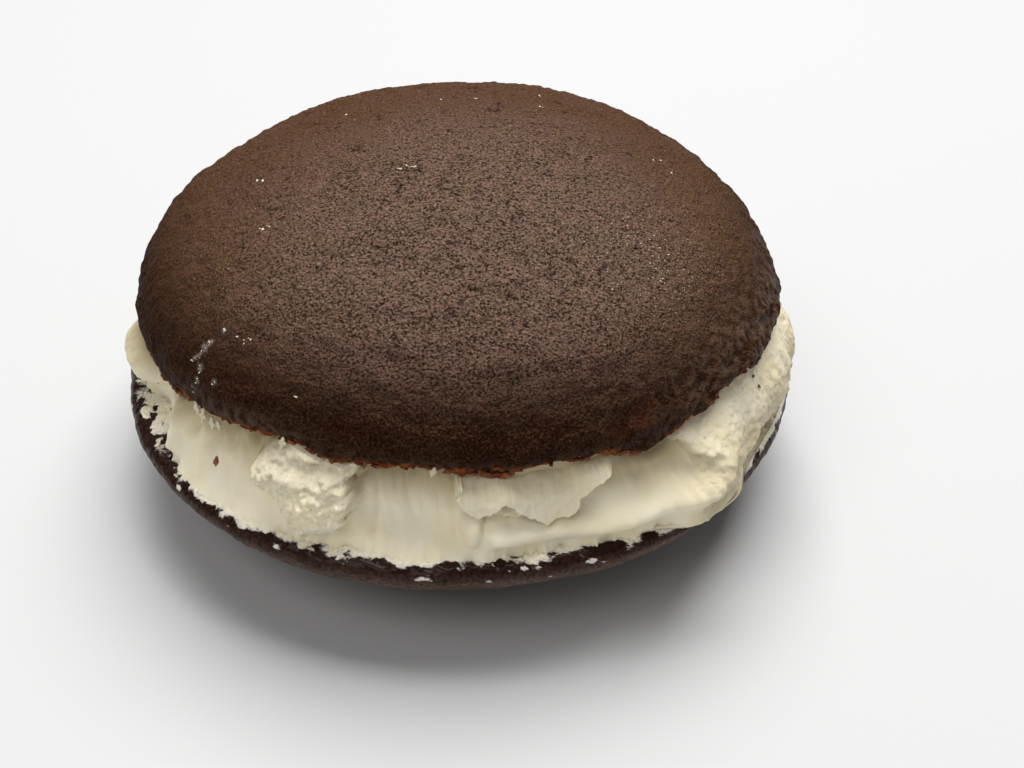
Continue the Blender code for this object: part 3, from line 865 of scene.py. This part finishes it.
# Torn crumbs that stand out from the upper crust's foot: direction, height from its edge, size
# across and up (mm).
RIM_NUBS = (
    (5.2, -0.1, 0.9, 0.5), (6.6, -0.35, 1.2, 0.6), (8.2, -0.2, 0.9, 0.5), (9.8, 0.2, 0.5, 0.35),
    (-1, 0.1, 0.8, 0.35), (1.4, 0, 1, 0.4), (3.2, 0, 0.6, 0.4), (19, 0.3, 0.8, 0.45),
    (20.6, 0.1, 0.7, 0.5), (25.2, 0.3, 1.1, 0.5), (27.2, 0.5, 1.2, 0.6), (29.4, 0.4, 1.1, 0.7),
    (31.2, 0.6, 0.8, 0.6), (28.4, 1.3, 0.9, 0.6), (44.2, 0.1, 0.9, 0.5), (58, 0.2, 0.6, 0.5),
    (68, 0.2, 0.5, 0.4), (-26.4, 0.3, 0.9, 0.4), (-23, 0.3, 0.7, 0.35), (-52, 0.2, 0.7, 0.4),
    (-34, 0.3, 0.6, 0.3), (-12, 0.2, 0.8, 0.35), (-7.5, 0.2, 0.6, 0.3),
)  # fmt: skip
FRONT_RIM = (-55, 62)  # where the small crumbs stand closer together
PARTS_PER_NUB = 3
# Cream on the dome: direction, distance from the axis, half-length and half-width (mm).
DOME_SPECKS = (
    (-124, 20.6, 0.35, 0.28), (-78, 28.9, 0.85, 0.3), (-76, 28.3, 0.4, 0.3), (-55, 31.9, 0.35, 0.4),
    (-54, 31.2, 0.25, 0.2), (-35, 13.1, 0.5, 0.22), (-32, 12.2, 0.3, 0.2), (-27, 12.3, 0.45, 0.22),
    (168, 13.7, 0.3, 0.22), (145, 22.7, 0.35, 0.22), (129, 16.3, 0.3, 0.2), (90, 29.2, 0.22, 0.2),
    (91, 30.4, 0.3, 0.2), (86, 31.6, 0.28, 0.2), (-170, 13.1, 0.25, 0.2), (-26, 46.2, 0.3, 0.22),
    (-38, 43, 0.25, 0.2), (-41, 43.4, 0.35, 0.22), (-44, 43.4, 0.3, 0.2), (48, 33, 0.2, 0.15),
    (46, 38, 0.2, 0.16), (52, 36, 0.2, 0.15),
)  # fmt: skip
SPECK_SCALE = 0.62
SPECK_RISE, GRAIN_RISE = 0.1 * MM, 0.06 * MM  # how far they stand up from the crust
GRAINS_PER_BLOTCH = 2
# Shreds of cream at the foot: direction, height from its edge and half-length (mm).
RIM_SHREDS = (
    (-46, 0.2, 1), (-44.6, -0.4, 1.3), (-42.4, -0.9, 1), (-40.8, -0.6, 0.7), (-27.5, 0.2, 0.9),
    (-3.2, 0.3, 0.7),
)  # fmt: skip
# Brown crumbs on the cream: direction, height, half-length and half-width (mm).
LOOSE_CRUMBS = (
    (-43.9, 5.1, 0.8, 0.6), (-43.7, 5.7, 0.5, 0.4), (-43.4, 5.3, 0.35, 0.3), (-44, 4.6, 0.3, 0.25),
    (-64.3, 2.6, 0.2, 0.16), (58.6, 11.4, 0.4, 0.2), (57.3, 14.3, 0.35, 0.2),
)  # fmt: skip


def crumb_shape(name, seed):
    """One irregular crumb of unit size, with few faces."""
    deselect_all()
    bpy.ops.mesh.primitive_uv_sphere_add(segments=8, ring_count=5, radius=1.0)
    piece = named(name)
    points = place_of(piece)
    put(piece, points * (1.0 + 0.45 * uneven(points, 0.9, octaves=2, shift=seed))[:, None])
    return piece


def strew(shape, places):
    """Copies of a shape, each with its own mesh, laid on a surface and joined into one piece.

    A place is a point, the way outwards there, the way along the copy, and its three half-sizes.
    """
    copies = []
    for point, outward, lengthwise, halves in places:
        copy = shape.copy()
        copy.data = shape.data.copy()
        bpy.context.scene.collection.objects.link(copy)
        outward = Vector(outward).normalized()
        lengthwise = (Vector(lengthwise) - outward * outward.dot(Vector(lengthwise))).normalized()
        axes = [lengthwise, outward.cross(lengthwise), outward]
        laid = Matrix([[axis[i] * half for axis, half in zip(axes, halves)] for i in range(3)]).to_4x4()
        laid.translation = Vector(point)
        copy.data.transform(laid)
        copies.append(copy)
    name = shape.name
    bpy.data.objects.remove(shape)
    take(copies[0])
    for copy in copies:
        copy.select_set(True)
    bpy.ops.object.join()
    return named(name)


def nearest_on(piece, point):
    """The piece's vertex nearest to a point, and the direction it faces."""
    points = place_of(piece)
    found = int(np.argmin(np.linalg.norm(points - point, axis=1)))
    return points[found], outward_of(piece)[found]


def sideways_at(angle):
    turn = math.radians(angle)
    return np.array((math.cos(turn), math.sin(turn), 0.0))


def on_rim(angle, radius, above):
    """The point at the upper crust's foot that far above its edge."""
    lobes = lobed(angle, radius, TOP_LOBES)
    return seated(at(angle, lobes, foot_wave(angle, lobes) + above))


def drawn_from(draw, *ranges):
    """One random number from each range."""
    return [draw.uniform(*between) for between in ranges]


def rim_crumbs(draw):
    """Torn crumbs all along the upper crust's foot."""
    nubs = list(RIM_NUBS)
    first, last = FRONT_RIM
    for angle in np.arange(-178.0, 180.0, 7.0):
        if not first < angle < last:
            turned, *sizes = drawn_from(draw, (-3, 3), (0.1, 0.6), (0.3, 0.8), (0.2, 0.35))
            nubs.append((angle + turned, *sizes))
    for angle in np.arange(first + 1.0, last, 4.0):
        turned, *sizes = drawn_from(draw, (-1.8, 1.8), (0.1, 0.5), (0.25, 0.6), (0.15, 0.3))
        nubs.append((angle + turned, *sizes))
    places = []
    for angle, above, wide, tall in nubs:
        for _ in range(PARTS_PER_NUB):
            way = angle + draw.uniform(-0.8, 0.8) * wide
            radius = TOP_RADIUS - draw.uniform(0.55, 0.85) * MM
            point = on_rim(way, radius, (above + draw.uniform(-0.15, 0.15)) * MM)
            share = draw.uniform(0.55, 0.9)
            lengthwise = sideways_at(way + draw.uniform(-25, 25))
            halves = (wide * share * MM, tall * share * MM, 0.4 * share * MM)
            places.append((point, at(way, 1.0, -0.2), lengthwise, halves))
    return strew(crumb_shape("rim_crumbs", 401.0), places)


def dome_point(upper, angle, radius):
    """The upper crust's vertex nearest to that place on its dome, and the direction it faces."""
    profile = np.array(top_profile())[:DOME_STEPS]
    level = float(np.interp(radius * MM, profile[:, 0], profile[:, 1]))
    return nearest_on(upper, seated(at(angle, radius * MM, level)))


def dome_specks(upper, draw):
    """Flecks and grains of cream on the dome, and shreds that hang from its foot."""
    places = []
    for angle, radius, long, wide in DOME_SPECKS:
        point, outward = dome_point(upper, angle, radius)
        lengthwise = sideways_at(angle + draw.uniform(-40, 40))
        long, wide = SPECK_SCALE * long * MM, SPECK_SCALE * wide * MM
        places.append((point, outward, lengthwise, (long, wide, SPECK_RISE)))
        beside = point + lengthwise * draw.uniform(-0.5, 0.5) * MM
        places.append((beside, outward, lengthwise, (0.5 * long, 0.6 * wide, SPECK_RISE)))
    for angle, radius, _, size in DUSTED:
        for _ in range(GRAINS_PER_BLOTCH):
            turned, moved = drawn_from(draw, (-0.9, 0.9), (-0.6, 0.6))
            point, outward = dome_point(upper, angle + turned * size, radius + moved * size)
            half = draw.uniform(0.06, 0.13) * MM
            places.append((point, outward, sideways_at(draw.uniform(0, 180)), (1.6 * half, half, GRAIN_RISE)))
    for angle, above, long in RIM_SHREDS:
        point, outward = on_rim(angle, TOP_RADIUS, above * MM), at(angle, 1.0, 0.2)
        hanging = (draw.uniform(-0.4, 0.4), -0.3, -1.0)
        places.append((point, outward, hanging, (long * MM, 0.32 * MM, 0.24 * MM)))
        places.append((point, outward, sideways_at(angle), (0.7 * long * MM, 0.3 * MM, 0.26 * MM)))
    return strew(crumb_shape("cream_specks", 411.0), places)


def loose_crumbs(body, draw):
    """Brown crumbs lying on the cream, each with a smaller one beside it."""
    places = []
    for angle, height, long, wide in LOOSE_CRUMBS:
        point, outward = nearest_on(body, at(angle, 51 * MM, LOW_DEPTH + height * MM))
        lengthwise = np.array((draw.uniform(-1, 1), 0.2, draw.uniform(-1, 1)))
        long, wide = long * MM, wide * MM
        beside = point + lengthwise * 0.2 * MM
        places.append((point, outward, lengthwise, (long, wide, 0.6 * wide)))
        places.append((beside, outward, lengthwise, (0.6 * long, 0.7 * wide, 0.6 * wide)))
    return strew(crumb_shape("loose_crumbs", 421.0), places)


# ---------------------------------------------------------------------------- shader building


def linear(red, green, blue):
    """A colour given on the 0 to 255 scale of screens, as Blender's nodes take it."""
    return [((shade / 255 + 0.055) / 1.055) ** 2.4 for shade in (red, green, blue)] + [1.0]


def fill(tree, node, inputs):
    """Fills a node's inputs with values, or links them to sockets."""
    for socket, value in inputs.items():
        if isinstance(value, bpy.types.NodeSocket):
            tree.links.new(value, node.inputs[socket])
        else:
            node.inputs[socket].default_value = value
    return node.outputs


def new_node(tree, kind, inputs, **settings):
    """The outputs of a new node of that kind, with its settings made and its inputs filled."""
    made = tree.nodes.new(kind)
    for setting, value in settings.items():
        setattr(made, setting, value)
    return fill(tree, made, inputs)


def maths(tree, operation, first, second):
    return new_node(tree, "ShaderNodeMath", {0: first, 1: second}, operation=operation)[0]


def times(tree, first, *others):
    for other in others:
        first = maths(tree, "MULTIPLY", first, other)
    return first


def plus(tree, first, second):
    return maths(tree, "ADD", first, second)


def less(tree, first, second):
    return maths(tree, "SUBTRACT", first, second)


def vector_maths(tree, operation, first, second):
    return new_node(tree, "ShaderNodeVectorMath", {0: first, 1: second}, operation=operation)[0]


def blend_colours(tree, share, first, second, how="MIX"):
    inputs = {0: share, 6: first, 7: second}
    return new_node(tree, "ShaderNodeMix", inputs, data_type="RGBA", blend_type=how)[2]


def painted(tree, colour, *coats):
    """A colour with coats of (share, colour) laid over it, one after another."""
    for share, coat in coats:
        colour = blend_colours(tree, share, colour, coat)
    return colour


def band(tree, value, start, end, low=0.0, high=1.0, curve="SMOOTHSTEP"):
    """Low before start and high after end, smooth between."""
    inputs = {0: value, 1: start, 2: end, 3: low, 4: high}
    return new_node(tree, "ShaderNodeMapRange", inputs, interpolation_type=curve)[0]


def clouds(tree, place, scale, detail):
    """A soft noise."""
    return new_node(tree, "ShaderNodeTexNoise", {"Vector": place, "Scale": scale, "Detail": detail})[0]


def kept(tree, name):
    """A value marked on the piece's vertices."""
    return new_node(tree, "ShaderNodeAttribute", {}, attribute_name=name)["Fac"]


def new_group(name, inputs, outputs):
    """A node group with sockets of those names and kinds, what it is given, and its output node."""
    group = bpy.data.node_groups.new(name, "ShaderNodeTree")
    for side, sockets in (("INPUT", inputs), ("OUTPUT", outputs)):
        for label, kind in sockets.items():
            group.interface.new_socket(label, in_out=side, socket_type="NodeSocket" + kind)
    return group, group.nodes.new("NodeGroupInput").outputs, group.nodes.new("NodeGroupOutput")


def baked_grain_group():
    """Close grain of a baked surface: its height and tone, the sparse dark pits drawn out sideways,
    its raised tops and its glints."""
    group, given, out = new_group(
        "baked_grain",
        {"Position": "Vector", "Size": "Float", "Openness": "Float"},
        dict.fromkeys(("Height", "Pits", "Tone", "Tops", "Glints"), "Float"),
    )
    scaled = vector_maths(group, "DIVIDE", given["Position"], given["Size"])
    drawn = vector_maths(group, "MULTIPLY", scaled, (0.62, 1.0, 1.0))
    fine = clouds(group, scaled, 1.0, 1.0)
    broad = times(group, clouds(group, scaled, 0.14, 1.0), 0.22)
    opened = plus(group, times(group, given["Openness"], 0.1), broad)
    slots = band(group, less(group, clouds(group, drawn, 1.15, 1.0), opened), 0.14, 0.085)
    pores = band(group, less(group, fine, opened), 0.155, 0.095)
    pits = maths(group, "MAXIMUM", pores, slots)
    raised = plus(group, fine, times(group, clouds(group, scaled, 0.55, 1.0), 1.4))
    tone = band(group, fine, 0.34, 0.66, -1.0, 1.0, "LINEAR")
    made = {
        "Height": less(group, raised, times(group, pits, 0.6)),
        "Pits": pits,
        "Tone": times(group, tone, plus(group, times(group, given["Openness"], 0.5), 0.5)),
        "Tops": band(group, fine, 0.5, 0.66),
        "Glints": band(group, clouds(group, scaled, 1.3, 0.0), 0.74, 0.8),
    }
    fill(group, out, made)
    return group


def mottle_group():
    """Two colours mixed in soft patches."""
    group, given, out = new_group(
        "mottle",
        {"Position": "Vector", "Size": "Float", "First": "Color", "Second": "Color"},
        {"Colour": "Color", "Patches": "Float"},
    )
    scaled = vector_maths(group, "DIVIDE", given["Position"], given["Size"])
    share = band(group, clouds(group, scaled, 1.0, 3.0), 0.35, 0.65)
    mixed = blend_colours(group, share, given["First"], given["Second"])
    fill(group, out, {"Colour": mixed, "Patches": share})
    return group


BAKED_GRAIN = baked_grain_group()
MOTTLE = mottle_group()


def use_group(tree, group, **inputs):
    node = tree.nodes.new("ShaderNodeGroup")
    node.node_tree = group
    return fill(tree, node, inputs)


def mottled(tree, place, size, first, second):
    return use_group(tree, MOTTLE, Position=place, Size=size, First=first, Second=second)["Colour"]


def new_material(name, **constants):
    """A material, its tree, its Principled shader, and where each place is on the piece."""
    made = bpy.data.materials.new(name)
    made.use_nodes = True
    tree = made.node_tree
    shader = tree.nodes["Principled BSDF"]
    for socket, value in constants.items():
        shader.inputs[socket.replace("_", " ")].default_value = value
    return made, tree, shader, tree.nodes.new("ShaderNodeTexCoord").outputs["Object"]


def finish_surface(tree, shader, colour, height, strength, distance):
    """Gives the shader its colour and its bump."""
    bump = new_node(tree, "ShaderNodeBump", {"Height": height, "Strength": strength, "Distance": distance})[0]
    fill(tree, shader, {"Base Color": colour, "Normal": bump})


# ------------------------------------------------------------------------------ the materials

# The third cream colour is a painted shade, for where the cream lies under the upper crust, in grooves and in
# pores.
CREAM_COLOUR, CREAM_SHADE, CREAM_PAINTED_SHADE = linear(246, 237, 211), linear(244, 232, 198), linear(168, 150, 108)
CREAM_FILM, CREAM_WIPED = linear(238, 231, 216), linear(178, 168, 156)
COCOA, COCOA_WARM = linear(80, 56, 42), linear(78, 54, 35)
# A painted sheen for the middle of the dome, in two shades.
COCOA_MIDDLE_SHEEN, COCOA_MIDDLE_SHEEN_GREY = linear(101, 80, 70), linear(97, 79, 67)
# The shoulder's colours: partly the crust's own darker edge, partly painted shade.
COCOA_SHOULDER_TONE_AND_SHADE, COCOA_SHOULDER_TONE_AND_SHADE_PALE = linear(42, 20, 8), linear(47, 27, 15)
# Painted colours: a highlight for the grain's tops on the shoulder, and a sheen for the glossy patches.
COCOA_DARK, COCOA_PAINTED_HIGHLIGHT, COCOA_SHEEN = linear(34, 15, 8), linear(84, 64, 51), linear(102, 81, 64)
COCOA_RUDDY, COCOA_GLINT, COCOA_CRACK = linear(80, 40, 21), linear(190, 176, 160), linear(26, 11, 6)
DULL_COCOA, DULL_COCOA_DARK, MOIST_COCOA = linear(94, 76, 65), linear(80, 62, 52), linear(38, 18, 12)
CRUMB_COLOUR, CRUMB_RED = linear(144, 80, 38), linear(100, 46, 18)
NUB_COLOUR, NUB_RED, NUB_PITS = linear(146, 88, 46), linear(92, 46, 20), linear(60, 26, 12)
GRAIN_BUMP = 0.0003


def cocoa_crust():
    """The upper crust: open grain over the middle with a painted sheen, darker on the shoulder (partly its own
    tone, partly painted shade), moist glossy patches with a painted sheen, painted glints and painted
    highlights.
    """
    made, tree, shader, place = new_material(
        "cocoa_crust",
        Roughness=0.6,
        Specular_IOR_Level=0.02,
        Specular_Tint=(1.0, 0.84, 0.68, 1.0),
        Coat_Roughness=0.25,
    )
    open_grain, shoulder = kept(tree, "open_grain"), kept(tree, "shoulder")
    # Painted sheen: a paler, greyer colour over the middle of the dome, where the light above is reflected.
    middle_sheen = mottled(tree, place, 0.0045, COCOA_MIDDLE_SHEEN, COCOA_MIDDLE_SHEEN_GREY)
    # Partly the crust's own darker edge, partly painted shade where the dome turns away from the light above.
    low = mottled(tree, place, 0.006, COCOA_SHOULDER_TONE_AND_SHADE, COCOA_SHOULDER_TONE_AND_SHADE_PALE)
    skin = mottled(tree, place, 0.009, COCOA, COCOA_WARM)
    skin = painted(tree, skin, (times(tree, open_grain, 0.8), middle_sheen), (shoulder, low))
    grain = use_group(tree, BAKED_GRAIN, Position=place, Size=0.00034, Openness=open_grain)
    grainy = band(tree, shoulder, 0.2, 1.0, 1.0, 0.6)
    tone = plus(tree, times(tree, grain["Tone"], grainy, 0.6), 1.0)
    patches = use_group(tree, MOTTLE, Position=place, Size=0.0012)["Patches"]
    # Moist patches get a coat, and a painted sheen in their colour.
    wet = times(tree, kept(tree, "wet"), patches)
    sheer = band(tree, clouds(tree, place, 1700.0, 2.0), 0.38, 0.62, 0.15, 0.55)
    colour = painted(
        tree,
        blend_colours(tree, 1.0, skin, tone, "MULTIPLY"),
        (times(tree, grain["Pits"], grainy, 0.48), COCOA_DARK),
        # Painted highlights on the grain's tops, on the shoulder.
        (times(tree, grain["Tops"], shoulder, 0.28), COCOA_PAINTED_HIGHLIGHT),
        (times(tree, wet, 0.55), COCOA_SHEEN),
        (times(tree, kept(tree, "ruddy"), 0.26), COCOA_RUDDY),
        (times(tree, kept(tree, "dusted"), sheer), CREAM_WIPED),
        # Painted glints.
        (times(tree, grain["Glints"], kept(tree, "glint")), COCOA_GLINT),
        (times(tree, kept(tree, "crack"), 0.9), COCOA_CRACK),
        (kept(tree, "crumb"), mottled(tree, place, 0.0009, CRUMB_RED, CRUMB_COLOUR)),
    )
    fill(tree, shader, {"Coat Weight": times(tree, wet, 0.22)})
    finish_surface(tree, shader, colour, grain["Height"], 1.0, GRAIN_BUMP)
    return made


def torn_crumb():
    """The open crumb, paler and more orange than the crust."""
    made, tree, shader, place = new_material("torn_crumb", Roughness=0.6, Specular_IOR_Level=0.25)
    grain = use_group(tree, BAKED_GRAIN, Position=place, Size=0.0004, Openness=0.6)
    soft = mottled(tree, place, 0.0012, NUB_RED, NUB_COLOUR)
    colour = painted(tree, soft, (times(tree, grain["Pits"], 0.7), NUB_PITS))
    finish_surface(tree, shader, colour, grain["Height"], 1.0, GRAIN_BUMP)
    return made


def moist_crust():
    """The lower crust: a dull dome, a dark moist flat face, and the film of cream on it."""
    made, tree, shader, place = new_material(
        "moist_crust", Roughness=0.42, Specular_IOR_Level=0.08, Specular_Tint=(1.0, 0.86, 0.74, 1.0)
    )
    grain = use_group(tree, BAKED_GRAIN, Position=place, Size=0.0005, Openness=0.4)
    moist = kept(tree, "moist")
    bare = painted(tree, mottled(tree, place, 0.008, DULL_COCOA, DULL_COCOA_DARK), (moist, MOIST_COCOA))
    bare = blend_colours(tree, 1.0, bare, plus(tree, times(tree, grain["Tone"], 0.6), 1.0), "MULTIPLY")
    frayed = times(tree, less(tree, clouds(tree, place, 2400.0, 2.0), 0.5), 0.9)
    film = plus(tree, kept(tree, "smear"), frayed)
    colour = painted(
        tree,
        bare,
        (times(tree, grain["Pits"], 0.7), COCOA_DARK),
        (times(tree, band(tree, film, 0.2, 0.7), 0.88), CREAM_FILM),
        (band(tree, film, 0.8, 1.1), CREAM_COLOUR),
    )
    fill(tree, shader, {"Coat Weight": times(tree, moist, 0.1)})
    finish_surface(tree, shader, colour, grain["Height"], 1.0, 0.0002)
    return made


def whipped_cream():
    """Cream, smooth where the knife passed, finely pored where it was torn, and given painted shade under the
    upper crust, in grooves and in its pores.
    """
    made, tree, shader, place = new_material(
        "whipped_cream",
        Roughness=0.5,
        Specular_IOR_Level=0.35,
        Subsurface_Weight=0.15,
        Subsurface_Scale=0.0008,
        Subsurface_Radius=(1.0, 0.8, 0.5),
    )
    grain = use_group(tree, BAKED_GRAIN, Position=place, Size=0.0007, Openness=0.2)
    airy = kept(tree, "airy")
    colour = painted(
        tree,
        mottled(tree, place, 0.006, CREAM_COLOUR, CREAM_SHADE),
        # Painted shade: the deep mark and the pores of the torn cream darken the colour.
        (times(tree, kept(tree, "deep"), 0.85), CREAM_PAINTED_SHADE),
        (times(tree, grain["Pits"], airy, 0.3), CREAM_PAINTED_SHADE),
    )
    height = times(tree, grain["Height"], band(tree, airy, 0.0, 1.0, 0.2, 1.0))
    finish_surface(tree, shader, colour, height, 0.6, 0.00025)
    return made


def pale_floor():
    shade = (0.56, 0.56, 0.56, 1.0)
    return new_material("pale_floor", Base_Color=shade, Roughness=1.0, Specular_IOR_Level=0.0)[0]


def dress(made, *pieces):
    for piece in pieces:
        piece.data.materials.clear()
        piece.data.materials.append(made)


# -------------------------------------------------------------------------- floor, light, camera

SUBJECT_DISTANCE = 0.210
SUBJECT_MIDDLE = Vector((0.0, 0.0, LOW_DEPTH))
LOOKING_DOWN = math.radians(34.61)
CAMERA_ROLL = math.radians(0.67)
CAMERA_LENS, SENSOR_WIDTH = 45.76, 36.0  # mm
CAMERA_SHIFT = (0.0505, -0.0404)
LIGHT_AIM = Vector((0.0, 0.0, 0.03))
# Name, place, width and depth (m), and power (W).
SOFTBOXES = (
    ("key_softbox", (0.08, 0.28, 1.0), 0.8, 0.8, 16.8),
    ("front_softbox", (-0.5, -0.7, 1.1), 0.8, 0.6, 4.7),
)
AMBIENT, BACKDROP = 0.2, 1.0  # the world's strength, as light and as the camera sees it
FLOOR_SIZE, FLOOR_LEVEL = 6.0, -0.0002


def into_scene(name, data):
    made = bpy.data.objects.new(name, data)
    bpy.context.scene.collection.objects.link(made)
    return made


def camera():
    data = bpy.data.cameras.new("camera")
    data.lens, data.sensor_width = CAMERA_LENS, SENSOR_WIDTH
    data.shift_x, data.shift_y = CAMERA_SHIFT
    data.clip_start = 0.001
    made = into_scene("camera", data)
    ahead = Vector((0.0, math.cos(LOOKING_DOWN), -math.sin(LOOKING_DOWN)))
    turned = ahead.to_track_quat("-Z", "Y").to_matrix().to_4x4() @ Matrix.Rotation(CAMERA_ROLL, 4, "Z")
    made.matrix_world = Matrix.Translation(SUBJECT_MIDDLE - ahead * SUBJECT_DISTANCE) @ turned
    bpy.context.scene.camera = made


def softbox(name, place, width, depth, power):
    data = bpy.data.lights.new(name, "AREA")
    data.shape = "RECTANGLE"
    data.size, data.size_y = width, depth
    data.energy = power
    made = into_scene(name, data)
    made.location = place
    made.rotation_euler = (LIGHT_AIM - Vector(place)).to_track_quat("-Z", "Y").to_euler()


def studio():
    """Soft light, a white backdrop and a pale floor."""
    world = bpy.data.worlds.new("studio")
    world.use_nodes = True
    bpy.context.scene.world = world
    tree = world.node_tree
    seen = new_node(tree, "ShaderNodeLightPath", {})["Is Camera Ray"]
    strength = band(tree, seen, 0.0, 1.0, AMBIENT, BACKDROP)
    fill(tree, tree.nodes["Background"], {"Color": (1.0, 1.0, 1.0, 1.0), "Strength": strength})
    for given in SOFTBOXES:
        softbox(*given)
    deselect_all()
    bpy.ops.mesh.primitive_plane_add(size=FLOOR_SIZE, location=(0.0, 0.0, FLOOR_LEVEL))
    floor = named("floor")
    bpy.ops.object.transform_apply(location=True, rotation=True, scale=True)
    dress(pale_floor(), floor)
    bpy.context.scene.view_settings.view_transform = "Standard"
    bpy.context.scene.view_settings.look = "None"


# ------------------------------------------------------------------------------- putting it up

SPECK_SHADE = 0.45  # how much painted shade the specks' cream gets


def centre_on_solids(pieces, lower):
    """Moves every piece sideways by what brings the lower crust over its solid."""
    low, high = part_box("bottom_cake")
    own = place_of(lower)
    step = [(low[i] + high[i]) / 2 - (own[:, i].min() + own[:, i].max()) / 2 for i in (0, 1)]
    step = np.array((*step, 0.0))
    for piece in pieces:
        put(piece, place_of(piece) + step)
    return step


def main():
    camera()
    studio()
    upper, lower, body = upper_crust(), lower_crust(), cream()
    flaps = [flap(), under_flap()]
    step = centre_on_solids([upper, lower, body, *flaps], lower)
    draw = random.Random(17)
    nubs = rim_crumbs(draw)
    put(nubs, place_of(nubs) + step)
    specks, loose = dome_specks(upper, draw), loose_crumbs(body, draw)
    # The specks get painted shade, so they do not stand out bright in the light above.
    mark(specks, deep=np.full(len(specks.data.vertices), SPECK_SHADE))
    dress(cocoa_crust(), upper)
    dress(moist_crust(), lower)
    dress(whipped_cream(), body, *flaps, specks)
    dress(torn_crumb(), nubs, loose)
    finish_piece(upper, "cocoa_crust", "top_cake")
    finish_piece(lower, "dark_cocoa_crust", "bottom_cake")
    finish_piece(body, "whipped_cream", "filling")
    for piece in [*flaps, specks]:
        finish_piece(piece, "whipped_cream")
    for piece in [nubs, loose]:
        finish_piece(piece, "cocoa_crust")


main()
